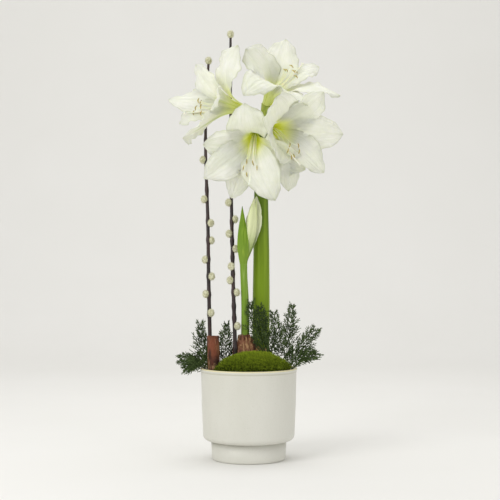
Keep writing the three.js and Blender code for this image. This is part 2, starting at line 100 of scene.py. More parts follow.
MIDDLE = (0, 0, 0.4)
DAYLIGHT = (1.0, 0.995, 0.98, 1)
DAYLIGHT_STRENGTH = 0.66
soft_lamp("key_lamp", (-1.5, -1.7, 1.5), MIDDLE, 1.4, 26)
soft_lamp("fill_lamp", (1.7, -1.4, 0.7), MIDDLE, 1.6, 6)
soft_lamp("top_lamp", (0.1, 0.4, 2.2), MIDDLE, 1.6, 10)
soft_lamp("wall_lamp", (0.0, 0.7, 2.4), (0.0, 2.6, 0.5), 2.0, 7)

world = bpy.data.worlds.new("studio")
bpy.context.scene.world = world
world.use_nodes = True
world.node_tree.nodes["Background"].inputs["Color"].default_value = DAYLIGHT
world.node_tree.nodes["Background"].inputs["Strength"].default_value = DAYLIGHT_STRENGTH


# %% [markdown]
# ## Writing finishes as sums
# A finish is mostly arithmetic on patterns: take some noise, sharpen it, and mix two colours by it. A
# small class lets the sums be written as sums, and one method adds any other node.

# %% Colours and sums
def srgb(code):
    """A colour written as six hex digits, as the linear values that shaders use."""
    parts = [int(code[i:i + 2], 16) / 255 for i in (0, 2, 4)]
    return tuple(p / 12.92 if p <= 0.04045 else ((p + 0.055) / 1.055) ** 2.4 for p in parts) + (1.0,)


class Field:
    """One output socket, which can be added to, multiplied and so on."""

    def __init__(self, finish, socket):
        self.finish = finish
        self.socket = socket

    def maths(self, operation, first, second):
        """A new field from two fields or numbers."""
        return self.finish.node("ShaderNodeMath", {"operation": operation}, {0: first, 1: second})

    def __add__(self, other):
        return self.maths("ADD", self, other)

    def __sub__(self, other):
        return self.maths("SUBTRACT", self, other)

    def __mul__(self, other):
        return self.maths("MULTIPLY", self, other)

    def __rsub__(self, other):
        return self.maths("SUBTRACT", other, self)

    __radd__ = __add__
    __rmul__ = __mul__


print("the code 808080 as linear values:", [round(v, 3) for v in srgb("808080")])

# %% [markdown]
# The finish itself is a material with one shader. Its methods are the few nodes that keep coming back: a
# cloudy noise, a smooth step, a mix of two colours, the height above the ground and a small relief.


# %% Finish maker
NOISE_ROUGHNESS = 0.55


class Finish:
    """A material with one Principled shader."""

    def __init__(self, name, **shader):
        self.material = bpy.data.materials.new(name)
        self.material.use_nodes = True
        self.tree = self.material.node_tree
        self.shader = self.tree.nodes["Principled BSDF"]
        self.put(self.shader, {key.replace("_", " "): value for key, value in shader.items()})

    def put(self, node, inputs):
        """Link the fields among these inputs to the node's sockets, and write the rest into them."""
        for key, value in inputs.items():
            if isinstance(value, Field):
                self.tree.links.new(value.socket, node.inputs[key])
            else:
                node.inputs[key].default_value = value

    def node(self, kind, settings=None, inputs=None, out=0):
        """The field that comes out of a new node, with its settings made first."""
        node = self.tree.nodes.new(kind)
        for key, value in (settings or {}).items():
            setattr(node, key, value)
        self.put(node, inputs or {})
        return Field(self, node.outputs[out])

    def place(self, stretch=(1, 1, 1)):
        """Object coordinates, stretched."""
        where = self.node("ShaderNodeTexCoord", out="Object")
        return self.node("ShaderNodeMapping", inputs={"Vector": where, "Scale": stretch})

    def noise(self, scale, detail=3.0, stretch=(1, 1, 1), vector=None):
        """A cloudy pattern from 0 to 1, on object coordinates unless a vector is given."""
        spot = vector or self.place(stretch)
        return self.node("ShaderNodeTexNoise", inputs={
            "Vector": spot, "Scale": scale, "Detail": detail, "Roughness": NOISE_ROUGHNESS,
        })

    def step(self, value, low, high):
        """0 below low, 1 above high, and smooth between them."""
        settings = {"interpolation_type": "SMOOTHSTEP"}
        return self.node("ShaderNodeMapRange", settings, {0: value, 1: low, 2: high})

    def mix(self, mask, first, second):
        """The first colour where the mask is 0 and the second where it is 1."""
        settings = {"data_type": "RGBA"}
        return self.node("ShaderNodeMix", settings, {0: mask, 6: first, 7: second}, out=2)

    def height(self):
        """The height above the ground, in metres."""
        where = self.node("ShaderNodeTexCoord", out="Object")
        return self.node("ShaderNodeSeparateXYZ", inputs={0: where}, out="Z")

    def colour(self, value):
        """Give the shader its base colour."""
        self.put(self.shader, {"Base Color": value})

    def relief(self, height, depth):
        """Small relief: depth in metres at a height value of 1."""
        self.put(self.shader, {"Normal": self.node("ShaderNodeBump", inputs={
            "Height": height, "Distance": depth, "Strength": 1.0,
        })})


print("a finish can:", ", ".join(name for name in vars(Finish) if not name.startswith("_")))

# %% [markdown]
# The sweep is the first thing to get a finish. It is only a stage, and its paper is matt with hardly any
# pattern.


# %% Floor sweep
def sweep():
    """A sheet of paper that runs back along the floor and curls up into a wall."""
    half_width, front, back, bend, top = 4.0, -3.2, 1.6, 1.0, 3.4
    turn = [(back + bend * math.sin(a), bend - bend * math.cos(a)) for a in
            (math.radians(10 * i) for i in range(10))]
    line = [(front, 0.0)] + turn + [(back + bend, top)]
    points = [(x, y, z) for y, z in line for x in (-half_width, half_width)]
    faces = [(2 * i, 2 * i + 1, 2 * i + 3, 2 * i + 2) for i in range(len(line) - 1)]
    mesh = bpy.data.meshes.new("paper_sweep")
    mesh.from_pydata(points, [], faces)
    mesh.shade_smooth()
    paper = Finish("studio_paper", Roughness=1.0, Specular_IOR_Level=0.0)
    grain = paper.noise(3.0, 2.0)
    paper.colour(paper.mix(grain, srgb("E9E8E4"), srgb("EDECE9")))
    mesh.materials.append(paper.material)
    sheet = placed("paper_sweep", mesh)
    print("the paper sweep is", 2 * half_width, "m wide and", top, "m high")


sweep()

# %% [markdown]
# ## Shaping by rings
# Nearly everything here grew along a line: stems, petals, twigs. So one helper joins a row of closed
# rings into a skin and closes both ends, and another makes the rings of a tube along a smooth line. Work
# is in millimetres, and is turned to metres when a mesh is made.


# %% Rings into a skin
def outward(points, faces):
    """The same faces, all turned over if the skin they close is inside out."""
    volume = 0.0
    for face in faces:
        for second, third in zip(face[1:], face[2:]):
            volume += points[face[0]].dot(points[second].cross(points[third]))
    return faces if volume >= 0 else [tuple(reversed(face)) for face in faces]


def walls(rings):
    """Points of rings of equal length, and the faces between each ring and the next."""
    around = len(rings[0])
    points = [p for ring in rings for p in ring]
    faces = []
    for row in range(len(rings) - 1):
        a, b = row * around, (row + 1) * around
        for i in range(around):
            j = (i + 1) % around
            faces.append((a + i, a + j, b + j, b + i))
    return points, faces


def loft(rings):
    """Points and faces of a closed skin through rings of equal length, its ends closed by fans."""
    around = len(rings[0])
    points, faces = walls(rings)
    for ring, start in ((rings[0], 0), (rings[-1], (len(rings) - 1) * around)):
        points.append(sum(ring, Vector()) / around)
        middle = len(points) - 1
        for i in range(around):
            j = (i + 1) % around
            faces.append((middle, start + j, start + i) if start == 0 else (middle, start + i, start + j))
    return points, outward(points, faces)


square = [Vector((x, y, 0)) for x, y in ((0, 0), (1, 0), (1, 1), (0, 1))]
box = loft([square, [p + Vector((0, 0, 1)) for p in square]])
print("a box made of two rings has", len(box[1]), "faces")

# %% [markdown]
# The rings come from lines. A few given points give a smooth line, evenly spaced values give the width
# along it, and a tube's rings are set square to the line with as little twist as can be.

# %% Lines and tubes
ALMOST_ONE = 0.99999


def smooth_line(points, share):
    """The point at a share of the way along a smooth line through the given points."""
    at = min(share, ALMOST_ONE) * (len(points) - 1)
    k = int(at)
    f = at - k
    p1, p2 = points[k], points[k + 1]
    p0 = points[k - 1] if k else 2 * p1 - p2
    p3 = points[k + 2] if k + 2 < len(points) else 2 * p2 - p1
    return 0.5 * (2 * p1 + (p2 - p0) * f + (2 * p0 - 5 * p1 + 4 * p2 - p3) * f * f
                  + (3 * p1 - p0 - 3 * p2 + p3) * f ** 3)


def blend_list(values, share):
    """The value at a share of the way along an evenly spaced list."""
    at = min(share, ALMOST_ONE) * (len(values) - 1)
    k = int(at)
    return values[k] + (values[k + 1] - values[k]) * (at - k)


def smooth_step(value, low, high):
    """0 below low, 1 above high, and smooth between them."""
    t = min(max((value - low) / (high - low), 0.0), 1.0)
    return t * t * (3 - 2 * t)


def tube_rings(line, radii, sides, steps, shape=None):
    """Rings along a smooth line. shape(share, angle) may scale the radius."""
    stops = [smooth_line(line, i / steps) for i in range(steps + 1)]
    rings = []
    side = None
    for i, p in enumerate(stops):
        along = (stops[min(i + 1, steps)] - stops[max(i - 1, 0)]).normalized()
        if side is None:
            side = along.orthogonal().normalized()
        side = (side - along * side.dot(along)).normalized()
        across = along.cross(side)
        radius = blend_list(radii, i / steps)
        ring = []
        for s in range(sides):
            angle = 2 * math.pi * s / sides
            r = radius * (shape(i / steps, angle) if shape else 1.0)
            ring.append(p + side * (r * math.cos(angle)) + across * (r * math.sin(angle)))
        rings.append(ring)
    return rings


def joined(parts):
    """Several (points, faces) lists as one, with the number of the part for each face."""
    points, faces, part_of = [], [], []
    for number, (new_points, new_faces) in enumerate(parts):
        start = len(points)
        points += new_points
        faces += [tuple(start + v for v in face) for face in new_faces]
        part_of += [number] * len(new_faces)
    return points, faces, part_of


def hand_line(*triples):
    """A given line as a list of points."""
    return [Vector(p) for p in triples]


def compass(degrees):
    """The level direction at this many degrees, turning from the right towards the back."""
    angle = math.radians(degrees)
    return Vector((math.cos(angle), math.sin(angle), 0))


sample = loft(tube_rings(hand_line((0, 0, 0), (0, 0, 10)), [1, 1], 6, 2))
print("a six-sided tube of two steps has", len(sample[1]), "faces with its ends")

# %% [markdown]
# A finished mesh sits at the world's origin with its place in its points, as the frame's own nodes do.
# Then it is told which body it rides on, which finish it shows and which frame nodes it stands for.


# %% Turning a mesh into a piece
def mesh_object(name, points, faces, materials, finish_of=None, coords=None, back=None):
    """An object at the origin with its place in its mesh. coords is a UV pair for each point."""
    mesh = bpy.data.meshes.new(name)
    mesh.from_pydata([Vector(p) * MM for p in points], [], faces)
    for material in materials:
        mesh.materials.append(material)
    if finish_of:
        mesh.polygons.foreach_set("material_index", finish_of)
    if coords:
        layer = mesh.uv_layers.new(name="lie")
        flat = [value for loop in mesh.loops for value in coords[loop.vertex_index]]
        layer.data.foreach_set("uv", flat)
    if back:
        mesh.attributes.new("back", "FLOAT", "POINT").data.foreach_set("value", back)
    mesh.shade_smooth()
    return placed(name, mesh)


def settle(piece, slot, *nodes):
    """The piece rides on the plant's one body and stands for its frame nodes."""
    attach(piece, "root")
    if nodes:
        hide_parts(*nodes)
    triangles = sum(len(face.vertices) - 2 for face in piece.data.polygons)
    print(piece.name, "triangles:", triangles)


def corners(node):
    """A frame node's lowest and highest corners in millimetres."""
    low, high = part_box(node)
    return Vector(low) / MM, Vector(high) / MM


print("the pot's corners in mm:", [tuple(round(v, 1) for v in corner) for corner in corners("pot")])

# %% [markdown]
# ## The pot
# A cast pot, dipped in an off-white glaze. Its section is a short list of corners with the foot's step
# and the shoulder as an arc, turned about the upright axis. The glaze is a satin coat with a faint
# speckle, and it breaks to cream where it runs thin over the rim.

# %% Pot
POT_LOW, POT_HIGH = corners("pot")
RIM = (POT_HIGH.x - POT_LOW.x) / 2
HEIGHT = POT_HIGH.z
FOOT_HEIGHT = 32.0
FOOT_TOP, FOOT_BOTTOM = 62.2, 60.8
FOOT_ROUND = 3.5
STEP_ROUND = 1.2
SHOULDER = 9.0
BODY_INSET_LOW, BODY_INSET_HIGH = 4.5, 1.3
GROOVE_DROP = 6.0
BEAD_ROUND, BEAD_DROP = 1.5, 3.6
LIP_ROUND = 1.9
WALL = 5.0
FLOOR_TOP = 8.0
POT_SIDES = 144


def arc(centre, radius, first, last, steps):
    """Points on an arc, as (radius, height) pairs, between two angles in degrees."""
    angles = [math.radians(first + (last - first) * i / steps) for i in range(steps + 1)]
    return [(centre[0] + radius * math.cos(a), centre[1] + radius * math.sin(a)) for a in angles]


def turned(profile, sides):
    """A skin turned about the upright axis from a profile that starts and ends on it."""
    rings = [[Vector((r * math.cos(a), r * math.sin(a), z)) for a in
              (2 * math.pi * s / sides for s in range(sides))] for r, z in profile[1:-1]]
    return loft(rings)


def pot_profile():
    """Half of the pot's section: up the outside, over the lip and down the inside to the floor."""
    body_low = RIM - BODY_INSET_LOW
    body_top = RIM - BODY_INSET_HIGH
    step = FOOT_HEIGHT - STEP_ROUND
    outside = [(0, 0)] + arc((FOOT_BOTTOM - FOOT_ROUND, FOOT_ROUND), FOOT_ROUND, -90, 0, 6)
    outside += [(FOOT_TOP, step)] + arc((FOOT_TOP + STEP_ROUND, step), STEP_ROUND, 180, 90, 3)
    outside += arc((body_low - SHOULDER, FOOT_HEIGHT + SHOULDER), SHOULDER, -90, 0, 10)
    outside += [(body_top - 1.2, HEIGHT * 0.6), (body_top, HEIGHT - 7), (body_top + 0.2, HEIGHT - 5.6)]
    outside += arc((RIM - BEAD_ROUND, HEIGHT - BEAD_DROP), BEAD_ROUND, -70, 0, 3)
    outside += arc((RIM - LIP_ROUND, HEIGHT - LIP_ROUND), LIP_ROUND, 0, 150, 8)
    inside = [(body_top - WALL, HEIGHT - 5), (body_low - WALL, FOOT_HEIGHT + 15)]
    inside += [(FOOT_TOP - WALL, FOOT_HEIGHT)]
    floor = [(FOOT_BOTTOM - WALL - 2, FLOOR_TOP + 1.5), (FOOT_BOTTOM - WALL - 6, FLOOR_TOP), (0, FLOOR_TOP)]
    return outside + inside + floor


def glaze():
    """Satin off-white glaze: speckled, with painted shade in the groove and cream over the rim."""
    finish = Finish("pot_glaze", Roughness=0.48, Coat_Weight=0.15, Coat_Roughness=0.3)
    cloud = finish.noise(9.0, 4.0, (1, 1, 0.5))
    speck = finish.step(finish.noise(900.0, 1.0), 0.66, 0.74)
    body = finish.mix(finish.step(cloud, 0.3, 0.7), srgb("CFCEC3"), srgb("D7D6CD"))
    speckled = finish.mix(speck * 0.3, body, srgb("A09A86"))
    high = finish.height()
    rim = finish.step(high, (HEIGHT - 2.6) * MM, (HEIGHT - 0.9) * MM)
    groove = HEIGHT - GROOVE_DROP
    # painted shade: the glaze is darkened in the groove
    groove_painted_shade = finish.step(high, (groove - 1.5) * MM, groove * MM)
    groove_painted_shade = groove_painted_shade * (1 - finish.step(high, groove * MM, (groove + 1.5) * MM))
    shaded = finish.mix(groove_painted_shade * 0.4, speckled, srgb("A39C80"))
    finish.colour(finish.mix(rim * 0.75, shaded, srgb("E2D79E")))
    finish.relief(finish.noise(60.0, 3.0, (1, 1, 0.6)), 0.0006)
    return finish.material


pot_points, pot_faces = turned(pot_profile(), POT_SIDES)
pot = mesh_object("glazed_pot", pot_points, pot_faces, [glaze()])
settle(pot, "pot_glaze", "pot")

# %% [markdown]
# ## Scattering with Geometry Nodes
# Compost crumbs, moss shoots and catkin hairs are all the same job: many small shapes on a surface. One
# node tree does it. It scatters points with a fixed seed, stands a small cone or grain on each, tips and
# sizes it at random, and joins the result to the surface. The result is then frozen to a plain mesh.


# %% Node tree helper
class Growth:
    """A Geometry Nodes tree with named inputs, built by adding nodes."""

    def __init__(self, name, inputs):
        self.group = bpy.data.node_groups.new(name, "GeometryNodeTree")
        face = self.group.interface
        face.new_socket("Surface", in_out="INPUT", socket_type="NodeSocketGeometry")
        for label, kind in inputs:
            face.new_socket(label, in_out="INPUT", socket_type=kind)
        face.new_socket("Result", in_out="OUTPUT", socket_type="NodeSocketGeometry")
        self.start = self.group.nodes.new("NodeGroupInput")
        self.end = self.group.nodes.new("NodeGroupOutput")

    def input(self, label):
        """The tree's own input with this name, as a socket to link from."""
        return self.start.outputs[label]

    def add(self, kind, settings=None, inputs=None):
        """A node, with its settings made first and its sockets filled or linked after."""
        node = self.group.nodes.new(kind)
        for key, value in (settings or {}).items():
            setattr(node, key, value)
        for key, value in (inputs or {}).items():
            if isinstance(value, bpy.types.NodeSocket):
                self.group.links.new(value, node.inputs[key])
            else:
                node.inputs[key].default_value = value
        return node

    def finish(self, parts, material):
        """Join the parts, make the instances real, and paint the whole."""
        whole = self.add("GeometryNodeJoinGeometry")
        for part in parts:
            self.group.links.new(part, whole.inputs[0])
        real = self.add("GeometryNodeRealizeInstances", inputs={0: whole.outputs[0]})
        painted = self.add("GeometryNodeSetMaterial", inputs={
            "Geometry": real.outputs[0], "Material": material,
        })
        self.group.links.new(painted.outputs[0], self.end.inputs[0])


print("a growth can:", ", ".join(name for name in vars(Growth) if not name.startswith("_")))

# %% [markdown]
# A tree is put on a piece as a modifier, its named inputs are set, and the evaluated result is kept as a
# plain mesh. The scatter tree is written once here and is then used for three materials.


# %% Freezing and scattering
def freeze(piece, growth, values):
    """Run the tree on the piece with these input values and keep the result as a plain mesh."""
    modifier = piece.modifiers.new("growth", "NODES")
    modifier.node_group = growth.group
    for item in growth.group.interface.items_tree:
        if item.in_out == "INPUT" and item.name in values:
            modifier[item.identifier] = values[item.name]
    graph = bpy.context.evaluated_depsgraph_get()
    mesh = bpy.data.meshes.new_from_object(piece.evaluated_get(graph))
    piece.modifiers.clear()
    piece.data = mesh


SCATTER_INPUTS = [
    ("Per square metre", "NodeSocketFloat"), ("Length", "NodeSocketFloat"), ("Width", "NodeSocketFloat"),
    ("Tilt", "NodeSocketFloat"), ("Smallest", "NodeSocketFloat"), ("Facing up", "NodeSocketFloat"),
    ("Seed", "NodeSocketInt"),
]
print("a scatter's inputs:", ", ".join(label for label, _ in SCATTER_INPUTS))


def scatter_tree(name, material, shape):
    """Small cones ("spike", with 3 sides) or grains ("grain") scattered on a surface."""
    tree = Growth(name, SCATTER_INPUTS)
    way = tree.add("ShaderNodeSeparateXYZ", inputs={0: tree.add("GeometryNodeInputNormal").outputs[0]})
    upward = tree.add("FunctionNodeCompare", {"operation": "GREATER_THAN"}, {
        0: way.outputs["Z"], 1: tree.input("Facing up"),
    })
    spots = tree.add("GeometryNodeDistributePointsOnFaces", inputs={
        "Mesh": tree.input("Surface"), "Selection": upward.outputs[0],
        "Density": tree.input("Per square metre"), "Seed": tree.input("Seed"),
    })
    if shape == "spike":
        body = tree.add("GeometryNodeMeshCone", inputs={
            "Vertices": 3, "Radius Top": 0.0, "Radius Bottom": tree.input("Width"),
            "Depth": tree.input("Length"),
        })
    else:
        body = tree.add("GeometryNodeMeshIcoSphere", inputs={
            "Radius": tree.input("Width"), "Subdivisions": 1,
        })
    lean = tree.add("FunctionNodeRandomValue", {"data_type": "FLOAT_VECTOR"}, {"Seed": tree.input("Seed")})
    negative = tree.add("ShaderNodeMath", {"operation": "MULTIPLY"}, {0: tree.input("Tilt"), 1: -1.0})
    low = tree.add("ShaderNodeCombineXYZ", inputs={
        "X": negative.outputs[0], "Y": negative.outputs[0], "Z": -math.pi,
    })
    high = tree.add("ShaderNodeCombineXYZ", inputs={
        "X": tree.input("Tilt"), "Y": tree.input("Tilt"), "Z": math.pi,
    })
    tree.group.links.new(low.outputs[0], lean.inputs["Min"])
    tree.group.links.new(high.outputs[0], lean.inputs["Max"])
    turned_points = tree.add("FunctionNodeRotateRotation", {"rotation_space": "LOCAL"}, {
        0: spots.outputs["Rotation"], 1: lean.outputs[0],
    })
    size = tree.add("FunctionNodeRandomValue", {"data_type": "FLOAT"}, {"Seed": tree.input("Seed")})
    tree.group.links.new(tree.input("Smallest"), size.inputs[2])
    size.inputs[3].default_value = 1.0
    stand = tree.add("GeometryNodeInstanceOnPoints", inputs={
        "Points": spots.outputs["Points"], "Instance": body.outputs["Mesh"],
        "Rotation": turned_points.outputs[0], "Scale": size.outputs[1],
    })
    tree.finish([tree.input("Surface"), stand.outputs[0]], material)
    return tree


# %% [markdown]
# ## The compost
# Peaty compost fills the pot nearly to the lip. It shows only as a dark floor behind the moss, so a
# turned plug with an uneven top is enough of a body, and loose crumbs scattered on it give the surface
# its grain.

# %% Compost
SOIL_LOW, SOIL_HIGH = corners("soil")
SOIL_TOP = SOIL_HIGH.z
SOIL_RADIUS = (SOIL_HIGH.x - SOIL_LOW.x) / 2
SOIL_TOP_RINGS = 14


def compost():
    """Nearly black peat with paler clods."""
    finish = Finish("compost", Roughness=0.95)
    clod = finish.noise(160.0, 5.0)
    finish.colour(finish.mix(finish.step(clod, 0.35, 0.7), srgb("1A120C"), srgb("46342A")))
    finish.relief(clod, 0.003)
    return finish.material


def soil_body():
    """A plug that fills the pot, with gentle lumps on its top."""
    profile = [(0, SOIL_LOW.z), (FOOT_BOTTOM - WALL - 5, SOIL_LOW.z), (FOOT_TOP - WALL - 1, FOOT_HEIGHT + 2)]
    profile += [(SOIL_RADIUS - 3, FOOT_HEIGHT + 16), (SOIL_RADIUS - 0.5, SOIL_TOP - 4)]
    profile += [(SOIL_RADIUS * (1 - i / SOIL_TOP_RINGS), SOIL_TOP) for i in range(SOIL_TOP_RINGS + 1)]
    points, faces = turned(profile, 64)
    for p in points:
        if p.z > SOIL_TOP - 1:
            p.z += 1.6 * noise.noise(p * 0.09) + 0.8 * noise.noise(p * 0.3) - 1.4
    return points, faces


compost_finish = compost()
soil = mesh_object("compost", *soil_body(), [compost_finish])
freeze(soil, scatter_tree("crumbs", compost_finish, "grain"), {
    "Per square metre": 42000.0, "Width": 1.7 * MM, "Tilt": 1.5, "Smallest": 0.25, "Facing up": 0.5,
    "Seed": 3,
})
settle(soil, "soil", "soil")

# %% [markdown]
# ## The moss cushion
# Cushion moss is thousands of upright shoots, each only a few millimetres tall. From above it is a soft
# dome, and at its edge the shoots show one by one. A lumpy dome carries scattered spikes, and its colour
# holds painted light and shade: lighter high on the cushion, darker low down and in the hollows.

# %% Moss
MOSS_TOP = corners("moss_cushion")[1].z
MOSS_CENTRE = Vector((8, -32, SOIL_TOP))
MOSS_HALF = Vector((64, 39, 39))
DOME_FOOT, DOME_TOP = -8, 89
MOSS_GAP = 6.0


def moss_finish():
    """Painted light and shade: dark olive low on the cushion and between the shoots, yellow-green high up, in
    soft patches.
    """
    finish = Finish("moss", Roughness=0.95, Specular_IOR_Level=0.15)
    patch = finish.noise(38.0, 4.0)
    fine = finish.step(finish.noise(300.0, 3.0), 0.36, 0.64)
    # painted light and shade: the colour steps from dark to light with height over the whole cushion
    high = finish.step(finish.height() + fine * 0.022, (SOIL_TOP + 12) * MM, (MOSS_TOP + 16) * MM)
    deep = finish.mix(high, srgb("34420A"), srgb("8FA22A"))
    finish.colour(finish.mix(finish.step(patch, 0.5, 0.75) * fine * 0.5, deep, srgb("A0AC34")))
    return finish.material


def dome(centre, half, rows, sides):
    """The upper part of an egg, closed underneath, with soft lumps, and kept inside the pot's wall."""
    rings = []
    for row in range(rows + 1):
        rise = math.radians(DOME_FOOT + (DOME_TOP - DOME_FOOT) * row / rows)
        ring = []
        for s in range(sides):
            a = 2 * math.pi * s / sides
            out = Vector((math.cos(a) * math.cos(rise), math.sin(a) * math.cos(rise), math.sin(rise)))
            lump = 1 + 0.05 * noise.noise(out * 4.2) + 0.035 * noise.noise(out * 9.5)
            ring.append(centre + Vector((out.x * half.x, out.y * half.y, out.z * half.z)) * lump)
        rings.append(ring)
    points, faces = loft(rings)
    limit = RIM - WALL - MOSS_GAP
    for p in points:
        reach = math.hypot(p.x, p.y)
        if reach > limit and p.z < HEIGHT + 2:
            p.x *= limit / reach
            p.y *= limit / reach
    return points, faces


moss_green = moss_finish()
moss = mesh_object("moss_cushion_grown", *dome(MOSS_CENTRE, MOSS_HALF, 18, 56), [moss_green])
freeze(moss, scatter_tree("moss_shoots", moss_green, "spike"), {
    "Per square metre": 1300000.0, "Length": 6.4 * MM, "Width": 0.5 * MM, "Tilt": 0.75, "Smallest": 0.35,
    "Facing up": -0.3, "Seed": 11,
})
settle(moss, "moss", "moss_cushion")

# %% [markdown]
# ## Stems
# An amaryllis stem is a hollow, waxy tube, nearly round. It is brightest along the side that faces the
# light and has faint lines along its length. Both stems are tubes along a given line, a little out of
# round.

# %% Stems
FLOWER_STEM = hand_line((20, 24, 166), (20.7, 23, 260), (21, 22, 345), (20.6, 20, 450), (21, 19, 538))
FLOWER_STEM_RADII = [14.2, 14, 13, 11.2, 11]
BUD_STEM = hand_line((-6, 1, 172), (-6, 1, 250), (-8, -2, 300), (-8.6, -4, 322))
BUD_STEM_RADII = [7, 6.3, 5.7, 5.9]
STEM_SIDES, STEM_STEPS = 40, 36
FLATTENING = 0.03
RIBS, RIB_DEPTH = 13, 0.006


def stem_finish(name, low, high, light, streak):
    """Waxy green that changes with height, under faint lengthwise lines."""
    finish = Finish(name, Roughness=0.5, Specular_IOR_Level=0.3)
    lines = finish.noise(210.0, 3.0, (1, 1, 0.03))
    cloud = finish.noise(14.0, 3.0, (1, 1, 0.35))
    rise = finish.step(finish.height() + cloud * 0.08, 0.22, 0.56)
    body = finish.mix(rise, srgb(low), srgb(high))
    finish.colour(finish.mix(finish.step(lines, 0.5, 0.72) * streak, body, srgb(light)))
    finish.relief(lines, 0.0006)
    return finish.material


def oval(share, angle):
    """A stem is a little flattened and very faintly ribbed."""
    return 1 + FLATTENING * math.cos(2 * angle + 0.6) + RIB_DEPTH * math.cos(RIBS * angle)


def rounded_end(ring, rise):
    """Rings that close an upright tube with a low dome."""
    middle = sum(ring, Vector()) / len(ring)
    rings = []
    for degrees in (25, 50, 72):
        a = math.radians(degrees)
        lift = Vector((0, 0, rise * math.sin(a)))
        rings.append([middle + (p - middle) * math.cos(a) + lift for p in ring])
    return rings


flower_stem_green = stem_finish("flower_stem_skin", "779206", "4F6A02", "93AC2A", 0.4)
bud_stem_green = stem_finish("bud_stem_skin", "74932A", "6F9424", "A0B868", 0.5)
for name, line, radii, skin in (
    ("flower_stem", FLOWER_STEM, FLOWER_STEM_RADII, flower_stem_green),
    ("bud_stem", BUD_STEM, BUD_STEM_RADII, bud_stem_green),
):
    rings = tube_rings(line, radii, STEM_SIDES, STEM_STEPS, oval)
    points, faces = loft(rings + rounded_end(rings[-1], radii[-1] * 0.3))
    settle(mesh_object(name + "_grown", points, faces, [skin]), name, name)

# %% [markdown]
# ## The bulb and its papery neck
# Only the shoulder and neck of the bulb stand clear of the moss. Its outer scales have dried to brown
# paper that splits and curls round the stem. A plain smooth bulb lies underneath, and ragged sheets wrap
# it, each a strip of a turned surface with a torn top edge.

# %% Bulb
BULB_CENTRE = Vector((5, 14, 0))
BULB_SIDE = [(0, 92), (16, 92), (36, 104), (45, 124), (45, 145), (37, 165), (27, 179), (12, 186), (0, 187)]
BUD_COLLAR = hand_line((-3, 8, 158), (-6, 4, 184), (-9, 2, 205))
FLOWER_COLLAR = hand_line((17, 21, 156), (20.5, 23, 180))
BUD_SHEETS, BUD_SHEET_TURN = 9, 77
FLOWER_SHEETS, FLOWER_SHEET_TURN = 3, 120


def paper_finish(name, dark, mid, pale):
    """Dry scale: patches of two browns under pale lengthwise fibres."""
    finish = Finish(name, Roughness=0.72)
    fibre = finish.noise(260.0, 4.0, (1, 1, 0.12))
    patch = finish.noise(42.0, 4.0, (1, 1, 0.6))
    body = finish.mix(finish.step(patch, 0.36, 0.6), srgb(dark), srgb(mid))
    finish.colour(finish.mix(finish.step(fibre + patch * 0.5, 0.74, 0.98) * 0.8, body, srgb(pale)))
    finish.relief(fibre, 0.002)
    return finish.material


def paper_sheet(line, radius, start, sweep_angle, seed, flare):
    """A torn strip of skin round a smooth upright line: inner and outer face, with thin closed edges."""
    rows, across, thick = 12, 26, 0.35
    rings = []
    for i in range(across + 1):
        away = compass(start + sweep_angle * i / across)
        wander = noise.noise(Vector((i * 0.34, seed, 0)))
        tear = 0.86 + 0.3 * wander - 0.3 * noise.noise(Vector((i * 1.1, seed, 5))) ** 2
        edge = []
        for row in range(rows + 1):
            share = row / rows
            height = share * tear
            middle = smooth_line(line, height)
            spot = Vector((away.x * 3.4, away.y * 3.4 + seed, height * 6))
            crumple = 2.6 * noise.noise(spot) + 1.3 * noise.noise(spot * 2.7)
            out = blend_list(radius, height) + crumple + flare * smooth_step(share, 0.72, 1.0)
            edge.append((middle, out))
        outer = [middle + away * out for middle, out in edge]
        inner = [middle + away * (out - thick) for middle, out in reversed(edge)]
        rings.append(outer + inner)
    return loft(rings)


def bulb_parts():
    """The smooth bulb first, then a collar and torn sheets round each stem."""
    points, faces = turned(BULB_SIDE, 48)
    parts = [([p + BULB_CENTRE for p in points], faces)]
    parts.append(loft(tube_rings(BUD_COLLAR, [21, 15, 9.4], 28, 14)))
    parts.append(loft(tube_rings(FLOWER_COLLAR, [20, 15.6], 28, 8)))
    rng = random.Random(8)
    for number in range(BUD_SHEETS):
        lift = Vector((0, 0, rng.uniform(-19, 5)))
        line = [p + lift for p in BUD_COLLAR]
        grow = rng.uniform(0.4, 1.8)
        radii = [25.5 + grow, 17.4 + grow, 9.8 + grow]
        sweep_angle = rng.uniform(95, 170)
        flare = rng.uniform(0.5, 4.5)
        parts.append(paper_sheet(line, radii, number * BUD_SHEET_TURN, sweep_angle, number * 3.1, flare))
    for number in range(FLOWER_SHEETS):
        line = [p + Vector((0, 0, -3 * number)) for p in FLOWER_COLLAR]
        parts.append(paper_sheet(line, [21, 16.4], number * FLOWER_SHEET_TURN, 150, 40 + number, 1.2))
    return joined(parts)


bulb_brown = paper_finish("bulb_paper", "402216", "7A4B30", "C29C6E")
bulb_tan = paper_finish("bulb_shoulder", "8A6030", "B58B4C", "D9BE84")
bulb_points, bulb_faces, bulb_part = bulb_parts()
bulb = mesh_object("papery_bulb", bulb_points, bulb_faces, [bulb_brown, bulb_tan],
                   finish_of=[1 if part == 0 else 0 for part in bulb_part])
settle(bulb, "bulb_skin", "bulb")

# %% [markdown]
# ## Petals
# Six petals make a trumpet that flares and rolls back. Each one here is a strip that leaves the tube at a
# small angle to the flower's axis and leans out further and further, so four angles describe its whole
# curve. Across, it is bowed round the tube at its base and opens flat, with a groove along the midrib, a
# ruffled edge that rolls back, and faint pleats. The numbers are chosen flower by flower, because no two
# petals open alike.

